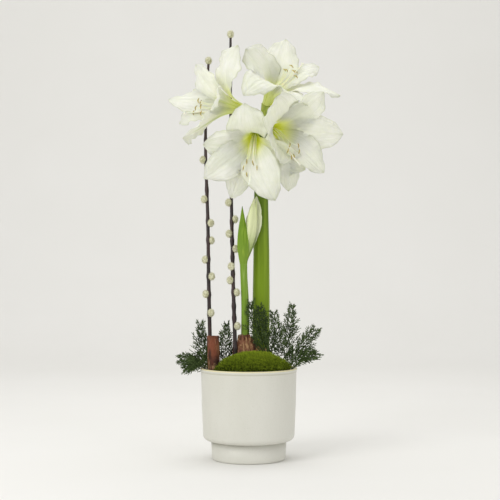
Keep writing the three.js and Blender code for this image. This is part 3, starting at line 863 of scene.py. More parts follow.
# %% The flowers' numbers
WHORL = {"outer": 8.2, "inner": 5.8}
FLOWERS = {
    "right": {
        "throat": Vector((35.5, 4, 547)), "facing": Vector((0.52, -0.82, -0.2)), "sag": 30,
        "petals": {
            "inner_upper_right": {"at": 61, "length": 121, "width": 62, "lean": (10, 26, 56, 80)},
            "outer_upper_left": {"at": 133, "length": 115, "width": 84, "lean": (10, 26, 52, 66)},
            "outer_right": {"at": 3, "length": 127, "width": 68, "lean": (10, 24, 62, 84)},
            "inner_lower_right": {"at": 313, "length": 125, "width": 56, "lean": (10, 24, 54, 84)},
            "outer_bottom": {"at": 279, "length": 126, "width": 52, "lean": (10, 34, 86, 118)},
            "inner_lower_left": {"at": 233, "length": 100, "width": 72, "lean": (10, 26, 38, 44)},
        },
    },
    "front": {
        "throat": Vector((9.8, -5, 534)), "facing": Vector((-0.12, -0.92, -0.37)), "sag": 34,
        "petals": {
            "outer_top": {"at": 97, "length": 104, "width": 74, "lean": (8, 16, 80, 160)},
            "inner_upper_left": {"at": 176, "length": 108, "width": 58, "lean": (10, 24, 66, 96)},
            "outer_left": {"at": 213, "length": 129, "width": 62, "lean": (10, 22, 70, 104)},
            "inner_lower_left": {"at": 248, "length": 129, "width": 52, "lean": (10, 28, 86, 112)},
            "outer_bottom": {"at": 295, "length": 138, "width": 68, "lean": (10, 20, 62, 108)},
            "inner_right": {"at": 330, "length": 112, "width": 60, "lean": (10, 58, 96, 104)},
        },
    },
    "left": {
        "throat": Vector((-12, 3, 579)), "facing": Vector((-0.88, -0.4, 0.2)), "sag": 18,
        "petals": {
            "inner_front": {"at": -6, "length": 110, "width": 50, "lean": (10, 24, 60, 100)},
            "outer_top": {"at": 65, "length": 116, "width": 68, "lean": (10, 48, 88, 104), "twist": 25},
            "inner_rear_top": {"at": 128, "length": 114, "width": 60, "lean": (10, 24, 62, 84)},
            "outer_rear": {"at": 182, "length": 125, "width": 52, "lean": (10, 20, 40, 62), "twist": 35},
            "inner_rear_bottom": {"at": 222, "length": 108, "width": 48, "lean": (10, 20, 44, 74)},
            "outer_bottom": {"at": 290, "length": 128, "width": 70, "lean": (10, 38, 46, 40), "twist": 25},
        },
    },
    "top": {
        "throat": Vector((29, 18, 587)), "facing": Vector((0.4, -0.42, 0.82)), "sag": 20,
        "petals": {
            "outer_top": {"at": 58, "length": 116, "width": 70, "lean": (10, 18, 40, 54), "twist": -20},
            "inner_upper_left": {
                "at": 143, "length": 105, "width": 90, "lean": (10, 25, 58, 73), "twist": -36,
            },
            "outer_left": {"at": 200, "length": 130, "width": 62, "lean": (10, 44, 100, 150)},
            "inner_front": {"at": 264, "length": 110, "width": 54, "lean": (10, 42, 84, 100)},
            "outer_lower_right": {"at": 317, "length": 129, "width": 54, "lean": (10, 42, 76, 90)},
            "inner_right": {"at": 2, "length": 118, "width": 50, "lean": (10, 28, 58, 84)},
        },
    },
}
print("petals:", sum(len(flower["petals"]) for flower in FLOWERS.values()))


# %% [markdown]
# The midrib comes first. It walks out from the throat in small steps, each at the lean that the four
# angles give there, and keeps for every step the side direction and the face's direction, so that a twist
# can be put in as well.

# %% The petal's curve
RIB_STEPS = 120


def axes_of(flower):
    """Forward out of the flower's mouth, right as seen from in front, and up."""
    forward = flower["facing"].normalized()
    right = Vector((0, 0, 1)).cross(forward).normalized()
    return forward, right, forward.cross(right)


def lean_at(lean, t):
    """The angle to the flower's axis, in radians, easing from each of the four leans to the next."""
    at = min(t, ALMOST_ONE) * (len(lean) - 1)
    k = int(at)
    f = at - k
    return math.radians(lean[k] + (lean[k + 1] - lean[k]) * (0.6 * f + 0.4 * f * f * (3 - 2 * f)))


def midrib(flower, shape, start_radius):
    """For each step: the point, the side direction, the inner face's normal, the distance from the axis."""
    forward, right, up = axes_of(flower)
    at = math.radians(shape["at"])
    radial = right * math.cos(at) + up * math.sin(at)
    tangent = forward.cross(radial)
    axial, out = 1.0, start_radius
    path = []
    for i in range(RIB_STEPS + 1):
        t = i / RIB_STEPS
        angle = lean_at(shape["lean"], t)
        along = forward * math.cos(angle) + radial * math.sin(angle)
        inward = forward * math.sin(angle) - radial * math.cos(angle)
        turn = Matrix.Rotation(math.radians(shape.get("twist", 0)) * t, 3, along)
        path.append((flower["throat"] + forward * axial + radial * out, turn @ tangent, turn @ inward, out))
        axial += math.cos(angle) * shape["length"] / RIB_STEPS
        out += math.sin(angle) * shape["length"] / RIB_STEPS
    return path


def petal_outline(t):
    """The half width at a share of the way along, as a share of the widest."""
    return (0.2 + 0.8 * smooth_step(t, 0.04, 0.58)) * (1 - t ** 4.4) ** 0.74


widest = max(range(RIB_STEPS), key=lambda step: petal_outline(step / RIB_STEPS))
print("a petal is widest at", round(widest / RIB_STEPS, 2), "of its length")

# %% [markdown]
# Then the surface. Each row across the petal is bent round the tube by less and less, and stands off that
# plain bow by a sum of small waves, each with its own name. A row goes along the inner face and back
# along the outer one.

# %% The petal's surface
FULL_RUFFLE = 16.0
RUFFLES, CRIMPS, PLEATS = 2.3, 7.3, 7
THINNEST_HALF = 0.35


def petal_lift(share, t, half, number, whorl):
    """How far the face stands off the plain strip, in millimetres. Ruffles fade where the petal is narrow."""
    open_part = smooth_step(t, 0.3, 0.66) * min(half / FULL_RUFFLE, 1.0)
    phase = number * 2.3 + (1.9 if share > 0 else 0.0)
    edge = abs(share)
    ruffle = 4.4 * edge ** 2.2 * open_part * math.sin(2 * math.pi * RUFFLES * t + phase)
    crimp = 1.7 * edge ** 4.5 * open_part * math.sin(2 * math.pi * CRIMPS * t + 3 * phase)
    roll = -3.0 * edge ** 3.2 * open_part
    groove = -1.3 * math.exp(-(share / 0.1) ** 2) * smooth_step(t, 0.15, 0.4) * (1 - smooth_step(t, 0.8, 1))
    pleats = 0.4 * math.cos(share * PLEATS * math.pi + number) * open_part * (1 - smooth_step(t, 0.85, 1))
    waver = 2.4 * noise.noise(Vector((share * 1.5, t * 3.0, number * 7.7))) * open_part
    apart = (1.0 if whorl == "inner" else -1.4) * share * share * smooth_step(t, 0.05, 0.3)
    return ruffle + crimp + roll + groove + pleats + waver + apart


def petal_mesh(flower, shape, whorl, number, rows=64, across=26):
    """Points, faces, a place on the petal for each point, and 1 for the points of its back."""
    path = midrib(flower, shape, WHORL[whorl])
    rings, coords, back = [], [], []
    for row in range(rows + 1):
        t = row / rows
        point, side, inward, radius = path[round(t * RIB_STEPS)]
        plain_half = shape["width"] / 2 * petal_outline(t)
        bow = (1 - t) / radius + 0.004 * t
        ring = []
        for face in (1, -1):
            for i in range(across + 1):
                share = face * (-1 + 2 * i / across)
                nibble = 0.1 * noise.noise(Vector((t * 9, number * 3.1, 2.0 if share > 0 else 8.0)))
                half = max(plain_half * (1 + nibble * smooth_step(t, 0.3, 0.6)), THINNEST_HALF)
                u = share * half
                thick = face * (0.14 + 0.34 * (1 - share * share) * (1 - 0.5 * t))
                lift = (1 - math.cos(u * bow)) / bow + petal_lift(share, t, half, number, whorl) + thick
                ring.append(point + side * (math.sin(u * bow) / bow) + inward * lift)
                coords.append((0.5 + 0.5 * share, t))
                back.append(0.0 if face == 1 else 1.0)
        rings.append(ring)
    points, faces = loft(rings)
    coords += [(0.5, 0.0), (0.5, 1.0)]
    back += [1.0, 1.0]
    return points, faces, coords, back


first_petal = petal_mesh(FLOWERS["right"], FLOWERS["right"]["petals"]["outer_right"], "outer", 1)
print("faces in one petal:", len(first_petal[1]))


# %% [markdown]
# ## The petals' finish
# The petal's finish is white with a green-yellow throat that fades in rays up each midrib, a greener
# back, fine lengthwise veins and a green point. Light passes into a petal a little before it comes back
# out, so the shader scatters some of it under the surface. The deep throat also gets a very weak glow,
# which stands for the daylight that comes through the tube's thin wall from outside.

# %% Petal finish
def petal_finish():
    """White with a yellow-green throat inside, green along the rib outside, and a thin shaded rim."""
    finish = Finish("petal_white", Roughness=0.5, Subsurface_Weight=0.45, Subsurface_Scale=0.009,
                    Emission_Strength=0.2)
    finish.shader.inputs["Subsurface Radius"].default_value = (1.0, 0.95, 0.6)
    lie = finish.node("ShaderNodeUVMap", {"uv_map": "lie"})
    share = finish.node("ShaderNodeSeparateXYZ", inputs={0: lie}, out="X")
    along = finish.node("ShaderNodeSeparateXYZ", inputs={0: lie}, out="Y")
    back = finish.node("ShaderNodeAttribute", {"attribute_name": "back"}, out="Fac")
    aside = finish.node("ShaderNodeMath", {"operation": "ABSOLUTE"}, {0: share - 0.5}) * 2.0
    stretched = finish.node("ShaderNodeMapping", inputs={"Vector": lie, "Scale": (46, 1.6, 1)})
    veins = finish.noise(1.0, 3.0, vector=stretched)
    cloud = finish.noise(30.0, 3.0)
    white = finish.mix(finish.step(cloud, 0.3, 0.7), srgb("EDF0D4"), srgb("F9F9E6"))
    white = finish.mix(finish.step(veins, 0.48, 0.72) * 0.4, white, srgb("D6DCB4"))
    glow = 1 - finish.step(along + aside * 0.1 + veins * 0.14, 0.24, 0.54)
    inner = finish.mix(glow * 0.85, white, srgb("E5EA8E"))
    deep = 1 - finish.step(along + aside * 0.08 + veins * 0.08, 0.12, 0.31)
    inner = finish.mix(deep * 0.95, inner, srgb("C2CC22"))
    rib = (1 - finish.step(aside + veins * 0.1, 0.06, 0.26)) * (1 - finish.step(along, 0.5, 0.97))
    outer = finish.mix((1 - finish.step(along, 0.12, 0.6)) * 0.75, white, srgb("C6D385"))
    outer = finish.mix(rib * 0.65, outer, srgb("A9BC62"))
    both = finish.mix(back, inner, outer)
    tip = finish.step(along - aside * 0.05, 0.93, 0.99)
    tipped = finish.mix(tip * 0.4, both, srgb("BCC884"))
    rim = finish.step(aside, 0.88, 1.0) * finish.step(along, 0.3, 0.6)
    finish.colour(finish.mix(rim * 0.55, tipped, srgb("B9BF98")))
    finish.put(finish.shader, {"Emission Color": finish.mix(glow, srgb("000000"), srgb("DDE23C"))})
    finish.relief(veins, 0.0014)
    return finish.material


petal_white = petal_finish()
number = 0
for name, flower in FLOWERS.items():
    for place, shape in flower["petals"].items():
        number += 1
        points, faces, coords, back = petal_mesh(flower, shape, place.split("_")[0], number)
        node = f"{name}_flower_{place}_petal"
        piece = mesh_object(node + "_grown", points, faces, [petal_white], coords=coords, back=back)
        settle(piece, "petal", node)

# %% [markdown]
# ## Stalks, styles and stamens
# Behind each flower is a short green stalk that swells into the ovary. The style runs on from it through
# the whole trumpet and ends in a three-lobed stigma, and six thinner filaments lie round it, sagging on
# the lower petals and lifting at their ends to hold the anthers.

# %% Stalks and stamens
UMBEL = Vector((21, 19, 538.3))
STALK_SPREAD = 6.2
OVARY_LENGTH = 16
STYLE_REACH = 96
FILAMENTS = 6
FILAMENT_REACH = 76
FILAMENT_FOOT = 3.2
ANTHER_HALF = 4.4


def filament_line(flower, around, start_radius, reach, sag):
    """A thread's line out of the throat: it sags with the trumpet and lifts again at its end."""
    forward, right, up = axes_of(flower)
    c, s = math.cos(math.radians(around)), math.sin(math.radians(around))
    stops = ((4, start_radius, 0), (reach * 0.36, 4.8, sag * 0.22), (reach * 0.74, 7, sag * 0.74),
             (reach, 11, sag * 0.94))
    return [flower["throat"] + forward * a + right * (r * c) + up * (r * s - down) for a, r, down in stops]


def pod(line, widths, sides=10, steps=12, flat=1.0):
    """A swollen closed shape along a line, from its half widths."""
    def flattened(share, angle):
        return 1 - (1 - flat) * math.sin(angle) ** 2

    return loft(tube_rings(line, widths, sides, steps, flattened))


def stalk_parts(flower, heading):
    """The stalk with its ovary, then the style, then the stigma's three lobes."""
    forward, right, up = axes_of(flower)
    out = compass(heading)
    a, d = UMBEL + out * STALK_SPREAD, flower["throat"]
    b, c = a + Vector((0, 0, 9)) + out * 3, d - forward * OVARY_LENGTH
    line = [a * (1 - t) ** 3 + b * (3 * t * (1 - t) ** 2) + c * (3 * t * t * (1 - t)) + d * t ** 3
            for t in (i / 8 for i in range(9))]
    stalk = loft(tube_rings(line, [3.6, 3.5, 3.7, 4.4, 5.6, 5.8, 6.6, 8.4], 20, 24))
    style_line = filament_line(flower, 270, 0, STYLE_REACH, flower["sag"] * 1.25)
    style_line[0] = flower["throat"] - forward * 2
    style = loft(tube_rings(style_line, [1.0, 0.9, 0.8, 0.9], 8, 24))
    end = style_line[-1]
    lobes = []
    for k in range(3):
        angle = 2 * math.pi * k / 3
        tip = end + forward * 2.4 + (right * math.cos(angle) + up * math.sin(angle)) * 2.2
        lobes.append(pod([end - forward * 0.6, (end + tip) / 2, tip], [0.5, 0.95, 0.4], 6, 6))
    return joined([stalk, style] + lobes)


def stamen_parts(flower):
    """Six filaments, then the anther that each one holds."""
    forward, right, up = axes_of(flower)
    threads, anthers = [], []
    for i in range(FILAMENTS):
        reach = FILAMENT_REACH + 5 * math.sin(i * 2.1)
        line = filament_line(flower, i * 360 / FILAMENTS, FILAMENT_FOOT, reach, flower["sag"])
        threads.append(loft(tube_rings(line, [1.1, 0.85, 0.7, 0.45], 6, 20)))
        tip = line[-1]
        rise = up * ANTHER_HALF
        bend = forward * (1.6 + 0.5 * math.sin(i * 3))
        sway = right * (1.2 * math.sin(i * 1.7))
        anther = [tip - rise - bend + sway, tip, tip + rise - bend - sway]
        anthers.append(pod(anther, [0.4, 1.05, 1.1, 0.4], 8, 12, 0.8))
    return joined(threads + anthers)


print("each flower has", FILAMENTS, "stamens of about", FILAMENT_REACH, "mm")

# %% [markdown]
# Four plain finishes are enough for the flower's inner parts. Each drifts a little between two colours,
# and the anthers get a coarse one, because they are covered with pollen. The stalks leave the stem in
# four directions.

# %% Finishes of the stalks and stamens
STALK_HEADINGS = {"front": 235, "right": 325, "left": 145, "top": 55}


def plain_living(name, first, second, scale=60.0, rough=0.5):
    """A soft plant finish that drifts between two colours."""
    finish = Finish(name, Roughness=rough, Subsurface_Weight=0.15, Subsurface_Scale=0.003)
    drift = finish.noise(scale, 4.0)
    finish.colour(finish.mix(finish.step(drift, 0.35, 0.65), srgb(first), srgb(second)))
    finish.relief(finish.noise(scale * 8, 2.0), 0.0004)
    return finish.material


stalk_green = plain_living("stalk_green", "8EA233", "B7C463")
style_white = plain_living("style_white", "F0F1D8", "FAFAEC")
filament_cream = plain_living("filament_cream", "EEF0C4", "FAFAE6")
anther_gold = plain_living("anther_gold", "8C7A30", "CFBF6C", 500.0, 0.85)
for name, flower in FLOWERS.items():
    points, faces, part = stalk_parts(flower, STALK_HEADINGS[name])
    stalk = mesh_object(f"{name}_flower_stalk_grown", points, faces, [stalk_green, style_white],
                        finish_of=[min(p, 1) for p in part])
    settle(stalk, "flower_stalk", f"{name}_flower_stalk")
    points, faces, part = stamen_parts(flower)
    threads = mesh_object(f"{name}_flower_stamens_grown", points, faces, [filament_cream, anther_gold],
                          finish_of=[int(p >= FILAMENTS) for p in part])
    settle(threads, "stamens", f"{name}_flower_stamens")

# %% [markdown]
# ## The bud
# The second stem carries a bud that has just split its sheath. The left half of the sheath is still green
# and pointed, the right half is pale and papery, and the folded blossoms push out between them.

# %% Bud
BUD_LEFT = hand_line((-8.6, -5, 320), (-9.6, -10, 362), (-10.8, -8, 417))
BUD_RIGHT = hand_line((-8.6, -1, 321), (5.5, 2, 372), (13, 1, 434))
BUD_MIDDLE = hand_line((-8.6, -3.5, 321), (2, -4, 372), (8.5, -3, 430))
LEFT_WIDTHS = [5.8, 7.6, 9.2, 9.6, 8.6, 6.3, 3.2, 0.4]
RIGHT_WIDTHS = [4.2, 5.6, 7.6, 10.2, 12.8, 13.2, 9.2, 0.6]


def fanned(line, aside):
    """A line that leaves another one at its foot and stands further and further aside."""
    return [p + aside * share for p, share in zip(line, (0.0, 0.8, 1.0))]


def valve(line, widths, cup, rows=44, across=18, ragged=0.0):
    """A cupped leaf-like sheet that faces the front, closed round its thin edges."""
    rings = []
    for row in range(rows + 1):
        t = row / rows
        half = blend_list(widths, t)
        middle = smooth_line(line, t)
        ring = []
        for face in (1, -1):
            for i in range(across + 1):
                share = face * (-1 + 2 * i / across)
                spot = Vector((share * 2, t * 9, widths[1]))
                wave = ragged * noise.noise(spot) * abs(share) * smooth_step(t, 0.2, 0.5)
                depth = cup * (1 - share * share) * min(half / 6, 1) + 0.25 * math.cos(share * 15) + wave
                out = half * share * (1 + 0.05 * ragged * noise.noise(spot * 2.2))
                ring.append(middle + Vector((out, -depth - face * 0.3, 0)))
        rings.append(ring)
    return loft(rings)


def sheath_finish(name, low, high, stripe):
    """A thin sheath: green at its foot, paler upwards, with fine lengthwise lines and silvery streaks."""
    finish = Finish(name, Roughness=0.55, Specular_IOR_Level=0.3)
    lines = finish.noise(260.0, 3.0, (1, 1, 0.05))
    rise = finish.step(finish.height() + lines * 0.012, 0.335, 0.39)
    body = finish.mix(rise, srgb(low), srgb(high))
    finish.colour(finish.mix(finish.step(lines, 0.52, 0.68) * 0.6, body, srgb(stripe)))
    finish.relief(lines, 0.0008)
    return finish.material


sheath_green = sheath_finish("sheath_green", "74922A", "66880E", "9AB33C")
sheath_paper = sheath_finish("sheath_paper", "74922A", "D6DABA", "A4AA98")
blossom_pale = sheath_finish("blossom_pale", "78952C", "DCE2B2", "B0C26E")
settle(mesh_object("spathe_left_grown", *valve(BUD_LEFT, LEFT_WIDTHS, 4.0), [sheath_green]),
       "bud_sheath", "spathe_left")
settle(mesh_object("spathe_right_grown", *valve(BUD_RIGHT, RIGHT_WIDTHS, -3.0, ragged=1.6), [sheath_paper]),
       "bud_sheath", "spathe_right")
blossom_points, blossom_faces, _ = joined([
    pod(BUD_MIDDLE, [4.6, 6.4, 8.6, 8.6, 0.8], 20, 30, 0.55),
    pod(fanned(BUD_MIDDLE, Vector((-4.0, 0.5, -9))), [4.2, 5.6, 6.6, 5.4, 0.6], 14, 24, 0.6),
    pod(fanned(BUD_MIDDLE, Vector((4.5, 1.5, -4))), [4.4, 5.2, 6.4, 5, 0.6], 14, 24, 0.6),
])
settle(mesh_object("bud_blossoms", blossom_points, blossom_faces, [blossom_pale]),
       "bud_blossom", "bud_flowers")

# %% [markdown]
# ## Pussy willow
# Each twig is a dark, straight shoot with furry catkins on short scales up its sides. The twig is a tube
# with a small swelling at every catkin, and the fur is scattered as fine spikes on an egg.

# %% The twigs' numbers
CATKIN_HALF = Vector((5.4, 5.4, 6.4))
CATKIN_STAND_OFF = 2.2
KNOT_SWELL, KNOT_LENGTH = 0.3, 0.008
WILLOWS = {
    "willow_left": {
        "bark": [((-62, 5, 112), 3.4), ((-64.5, 6, 205), 3.3), ((-66.8, 12, 300), 3.1),
                 ((-68.5, 24, 395), 2.9), ((-73, 44, 515), 2.6), ((-72, 58, 600), 2.4),
                 ((-68.6, 60, 662), 2.1)],
        "catkins": [(241, -60), (272, 200), (301, -20), (329, 190), (361, 10), (390, -20), (430, 195),
                    (497, 175), (575, 20)],
    },
    "willow_middle": {
        "bark": [((-22, -12, 112), 3.5), ((-22.3, -10, 180), 3.4), ((-25.2, -4, 272), 3.1),
                 ((-28, 10, 380), 2.9), ((-30, 28, 500), 2.6), ((-31, 50, 640), 2.3), ((-31, 55, 706), 2)],
        "catkins": [(220, -30), (275, -10), (295, 200), (318, -120), (347, -15), (372, 195), (396, 5),
                    (424, 190), (520, 20), (600, 180)],
    },
}


print("catkins up the sides:", sum(len(twig["catkins"]) for twig in WILLOWS.values()))

# %% [markdown]
# The fur is a separate piece from the bark, because it is scattered on the eggs and frozen with them. One
# catkin more sits at the tip of each twig.


# %% Willow
def bark_at(bark, z):
    """The twig's middle and its radius at a height."""
    k = next(i for i, (p, _) in enumerate(bark) if p[2] >= z)
    (low, thick), (high, thin) = bark[k - 1], bark[k]
    f = (z - low[2]) / (high[2] - low[2])
    return Vector(low).lerp(Vector(high), f), thick + (thin - thick) * f


def egg(centre, half, rows=9, sides=14):
    """An egg-shaped closed skin from its half sizes."""
    rings = []
    for row in range(1, rows):
        rise = math.pi * (row / rows - 0.5)
        level = Vector((0, 0, half.z * math.sin(rise)))
        spread = math.cos(rise)
        rings.append([centre + level + Vector((half.x * spread * d.x, half.y * spread * d.y, 0))
                      for d in (compass(360 * s / sides) for s in range(sides))])
    return loft(rings)


def willow_bark_finish():
    """Nearly black brown with lengthwise lines."""
    finish = Finish("willow_bark", Roughness=0.45)
    along = finish.noise(150.0, 4.0, (1, 1, 0.15))
    finish.colour(finish.mix(finish.step(along, 0.4, 0.7), srgb("1C0F0E"), srgb("3A211E")))
    finish.relief(along, 0.0012)
    return finish.material


def fur_finish():
    """Pale grey-green fur with a little sheen."""
    finish = Finish("catkin_fur", Roughness=0.9, Sheen_Weight=0.3, Sheen_Roughness=0.5)
    fleck = finish.noise(330.0, 3.0)
    finish.colour(finish.mix(finish.step(fleck, 0.35, 0.65), srgb("B9B692"), srgb("DEDDC2")))
    return finish.material


willow_dark = willow_bark_finish()
fur_pale = fur_finish()
fur_tree = scatter_tree("catkin_hairs", fur_pale, "spike")
for name, twig in WILLOWS.items():
    bark = twig["bark"]
    heights = [z for z, _ in twig["catkins"]]
    low, high = bark[0][0][2], bark[-1][0][2]
    knots = [(z - low) / (high - low) for z in heights]

    def knotted(share, angle, knots=knots):
        return 1 + KNOT_SWELL * sum(math.exp(-((share - k + KNOT_LENGTH) / KNOT_LENGTH) ** 2) for k in knots)

    stick = loft(tube_rings([Vector(p) for p, _ in bark], [r for _, r in bark], 14, 160, knotted))
    eggs, scales = [], []
    for z, side in twig["catkins"]:
        p, radius = bark_at(bark, z)
        out = compass(side)
        centre = p + out * (radius + CATKIN_STAND_OFF)
        eggs.append(egg(centre, CATKIN_HALF))
        foot = p + out * (radius - 0.5) - Vector((0, 0, 6.5))
        scales.append(pod([foot, foot + out * 2.2 + Vector((0, 0, 3)), centre - Vector((0, 0, 3.4))],
                          [0.8, 2.6, 3.2], 10, 8))
    eggs.append(egg(Vector(bark[-1][0]) + Vector((0, 0, 5)), CATKIN_HALF))
    points, faces, _ = joined(eggs)
    fur = mesh_object(name + "_catkins", points, faces, [fur_pale])
    freeze(fur, fur_tree, {
        "Per square metre": 1500000.0, "Length": 2.2 * MM, "Width": 0.2 * MM, "Tilt": 0.8, "Smallest": 0.4,
        "Facing up": -2.0, "Seed": 5,
    })
    points, faces, _ = joined([stick] + scales)
    settle(mesh_object(name + "_bark", points, faces, [willow_dark]), "willow", name)
    settle(fur, "willow")

# %% [markdown]
# ## The roll of bark
# The short stick at the left is bark that has curled up as it dried, so from above it is a scroll with a
# hollow middle. Its section is a spiral with two faces, drawn up to the stick's height, with a rough
# outside.

# %% Bark roll
STICK = hand_line((-56.5, -15, 118), (-58.4, -15, 204))
STICK_RADIUS = 9.9
INWARD_PER_TURN = 6.4


def scroll():
    """A curled sheet of bark, ring by ring upwards. A ring runs out along one face and back by the other."""
    turns, thick, steps, rows = 1.45, 2.1, 64, 34
    rings = []
    for row in range(rows + 1):
        t = row / rows
        middle = STICK[0].lerp(STICK[1], t)
        outer, inner = [], []
        for i in range(steps + 1):
            angle = 2 * math.pi * turns * i / steps
            away = Vector((math.cos(angle + 2.2), math.sin(angle + 2.2), 0))
            rough = 0.9 * noise.noise(Vector((away.x * 3, away.y * 3, t * 16)))
            rough += 0.25 * noise.noise(Vector((away.x * 11, away.y * 11, t * 40)))
            inward = max(0.0, turns * i / steps - 0.95)
            radius = STICK_RADIUS - INWARD_PER_TURN * inward
            end = 1.2 * noise.noise(Vector((away.x * 2, away.y * 2, 9))) * smooth_step(t, 0.9, 1)
            lift = Vector((0, 0, end))
            outer.append(middle + away * (radius + rough) + lift)
            inner.append(middle + away * (radius - thick + rough * 0.3) + lift)
        rings.append(outer + inner[::-1])
    return loft_ring_caps(rings, steps + 1)


def loft_ring_caps(rings, half):
    """A skin through rings that are two facing rows of points, its ends closed by strips between them."""
    around = len(rings[0])
    points, faces = walls(rings)
    last = (len(rings) - 1) * around
    for i in range(half - 1):
        k = around - 1 - i
        faces.append((i, k, k - 1, i + 1))
        faces.append((last + i, last + i + 1, last + k - 1, last + k))
    return points, outward(points, faces)


def cinnamon_finish():
    """Reddish brown with dark streaks, and pale where the outer layer has worn off near the foot."""
    finish = Finish("cinnamon_bark", Roughness=0.8)
    streak = finish.noise(110.0, 5.0, (1, 1, 0.3))
    patch = finish.noise(30.0, 4.0)
    body = finish.mix(finish.step(patch, 0.35, 0.65), srgb("4A2415"), srgb("784026"))
    body = finish.mix(finish.step(streak, 0.46, 0.62) * 0.85, body, srgb("2C150C"))
    low = 1 - finish.step(finish.height() + patch * 0.03, 0.158, 0.196)
    bare = finish.step(finish.noise(75.0, 3.0, (1, 1, 0.6)), 0.5, 0.62)
    finish.colour(finish.mix((low * 0.7 + 0.25) * bare, body, srgb("B08C62")))
    finish.relief(streak + patch, 0.005)
    return finish.material


settle(mesh_object("bark_roll", *scroll(), [cinnamon_finish()]), "cinnamon_bark", "cinnamon_stick")

# %% [markdown]
# ## Conifer sprigs
# Cypress foliage is a flat fan: shoots leave the rib on both sides, each with smaller shoots of its own,
# all clothed in tiny overlapping scale leaves. The fan is drawn first as bare lines by a short rule,
# twice for each sprig, with the second fan turned against the first so that the sprig has some depth.

# %% The fans' lines
SPRIGS = {
    "sprig_left_low": ([(-58, 14, 122), (-70, 10, 156), (-90, 2, 163), (-112, -4, 165)], 10),
    "sprig_left_front": ([(-62, -2, 122), (-72, -14, 154), (-86, -20, 157), (-103, -24, 151)], -10),
    "sprig_left_high": ([(-52, 22, 122), (-68, 22, 160), (-78, 20, 190), (-80, 18, 221)], 0),
    "sprig_middle": ([(-38, 10, 122), (-38, 8, 160), (-38, 4, 190), (-37, 2, 221)], 15),
    "sprig_centre_left": ([(34, -20, 140), (24, -18, 184), (10, -14, 222), (2.5, -12, 258)], 0),
    "sprig_centre": ([(42, -12, 122), (34, -12, 180), (26, -8, 218), (19.5, -7, 250)], 8),
    "sprig_right_near": ([(50, 2, 122), (50, 2, 170), (47, 0, 205), (42, -2, 241)], 0),
    "sprig_right_tall": ([(58, 14, 122), (64, 14, 185), (69, 12, 215), (73, 10, 251)], 0),
    "sprig_right_out": ([(58, 0, 122), (70, -4, 165), (90, -6, 190), (109, -8, 214)], 0),
    "sprig_right_low": ([(62, -16, 122), (74, -18, 157), (90, -20, 168), (107, -22, 175)], 12),
}


PAIRS = 11
FIRST_PAIR, LAST_PAIR = 0.24, 0.96
SHOOT_LENGTH = 30
BARE_SHARE = 0.36
TWIG_LENGTH = 0.36


def shoot(start, along, across, length, bend, steps=5):
    """Points of one shoot that leaves at an angle and turns back towards the rib's direction."""
    points = [start]
    for i in range(steps):
        turn = bend * (1 - 0.45 * i / steps)
        way = along * math.cos(turn) + across * math.sin(turn)
        points.append(points[-1] + way * (length / steps))
    return points


def fan(rib, yaw, rng):
    """The fan as a list of lines: the rib, its shoots and their shoots."""
    rib = hand_line(*rib)
    facing = compass(yaw - 90)
    lines = [[smooth_line(rib, i / 14) for i in range(15)]]
    for k in range(PAIRS):
        done = k / (PAIRS - 1)
        t = FIRST_PAIR + (LAST_PAIR - FIRST_PAIR) * done
        start = smooth_line(rib, t)
        along = (smooth_line(rib, min(t + 0.02, 1)) - smooth_line(rib, t - 0.02)).normalized()
        for hand in (-1, 1):
            tilt = facing * rng.uniform(-0.8, 0.8)
            across = (along.cross(facing) * hand + tilt).normalized()
            length = rng.uniform(0.6, 1.2) * SHOOT_LENGTH * (1 - 0.62 * done ** 1.2)
            line = shoot(start, along, across, length, math.radians(rng.uniform(30, 52)))
            lines.append(line)
            for j in range(1, 5):
                way = (line[j + 1] - line[j - 1]).normalized()
                for side in (-1, 1):
                    if rng.random() < BARE_SHARE:
                        continue
                    twig_across = (way.cross(facing) * side + facing * rng.uniform(-0.7, 0.7)).normalized()
                    twig = length * TWIG_LENGTH * (1 - 0.14 * j) * rng.uniform(0.7, 1.2)
                    lines.append(shoot(line[j], way, twig_across, twig, math.radians(rng.uniform(38, 52)), 3))
    return lines


print("sprigs:", len(SPRIGS), "with", 2 * 2 * PAIRS, "shoots each")

# %% [markdown]
# Geometry Nodes then walks the lines, gives them a thin core and sets a scale leaf at every step. Each
# leaf is turned on from the last by 137 degrees, so that no two rows of leaves line up.


# %% Scale leaves on the lines
LEAF_TURN = 137
LEAF_OPENING = 15


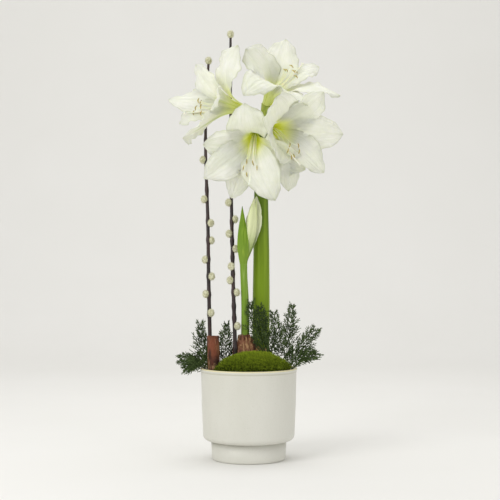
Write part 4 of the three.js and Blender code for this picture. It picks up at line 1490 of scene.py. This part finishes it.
def scale_leaf_tree(material):
    """Walks a piece's bare edges, makes them thin stems and sets small pointed leaves along them."""
    tree = Growth("scale_leaves", [
        ("Step", "NodeSocketFloat"), ("Leaf length", "NodeSocketFloat"), ("Leaf width", "NodeSocketFloat"),
        ("Core", "NodeSocketFloat"),
    ])
    lines = tree.add("GeometryNodeMeshToCurve", inputs={0: tree.input("Surface")})
    stops = tree.add("GeometryNodeResampleCurve", {"mode": "LENGTH"}, {
        "Curve": lines.outputs[0], "Length": tree.input("Step"),
    })
    leaf = tree.add("GeometryNodeMeshCone", inputs={
        "Vertices": 4, "Radius Top": 0.0, "Radius Bottom": tree.input("Leaf width"),
        "Depth": tree.input("Leaf length"),
    })
    tangent = tree.add("GeometryNodeInputTangent")
    face = tree.add("FunctionNodeAlignRotationToVector", {"axis": "Z"}, {"Vector": tangent.outputs[0]})
    index = tree.add("GeometryNodeInputIndex")
    turn = tree.add("ShaderNodeMath", {"operation": "MULTIPLY"}, {
        0: index.outputs[0], 1: math.radians(LEAF_TURN),
    })
    spin = tree.add("ShaderNodeCombineXYZ", inputs={"Z": turn.outputs[0]})
    spun = tree.add("FunctionNodeRotateRotation", {"rotation_space": "LOCAL"}, {
        0: face.outputs[0], 1: spin.outputs[0],
    })
    opened = tree.add("FunctionNodeRotateRotation", {"rotation_space": "LOCAL"}, {
        0: spun.outputs[0], 1: (math.radians(LEAF_OPENING), 0, 0),
    })
    leaves = tree.add("GeometryNodeInstanceOnPoints", inputs={
        "Points": stops.outputs[0], "Instance": leaf.outputs["Mesh"], "Rotation": opened.outputs[0],
    })
    ring = tree.add("GeometryNodeCurvePrimitiveCircle", inputs={
        "Resolution": 4, "Radius": tree.input("Core"),
    })
    core = tree.add("GeometryNodeCurveToMesh", inputs={
        "Curve": stops.outputs[0], "Profile Curve": ring.outputs[0], "Fill Caps": True,
    })
    tree.finish([leaves.outputs[0], core.outputs[0]], material)
    return tree


def conifer_finish():
    """Two dark greens in patches, with painted highlights as fine paler flecks."""
    finish = Finish("conifer_green", Roughness=0.75, Specular_IOR_Level=0.25)
    patch = finish.noise(45.0, 3.0)
    fine = finish.noise(600.0, 2.0)
    body = finish.mix(finish.step(patch, 0.35, 0.65), srgb("283A14"), srgb("43562A"))
    # painted highlights: fine paler flecks over the foliage
    finish.colour(finish.mix(finish.step(fine, 0.5, 0.75) * 0.6, body, srgb("8FA066")))
    return finish.material


conifer_green = conifer_finish()
leaf_tree = scale_leaf_tree(conifer_green)
rng = random.Random(21)
for name, (rib, yaw) in SPRIGS.items():
    points, edges = [], []
    for line in fan(rib, yaw - 18, rng) + fan(rib, yaw + 34, rng):
        start = len(points)
        points += line
        edges += [(start + i, start + i + 1) for i in range(len(line) - 1)]
    mesh = bpy.data.meshes.new(name)
    mesh.from_pydata([p * MM for p in points], edges, [])
    spray = placed(name + "_foliage", mesh)
    freeze(spray, leaf_tree, {
        "Step": 1.3 * MM, "Leaf length": 2.8 * MM, "Leaf width": 0.66 * MM, "Core": 0.42 * MM,
    })
    settle(spray, "conifer", name)

# %% [markdown]
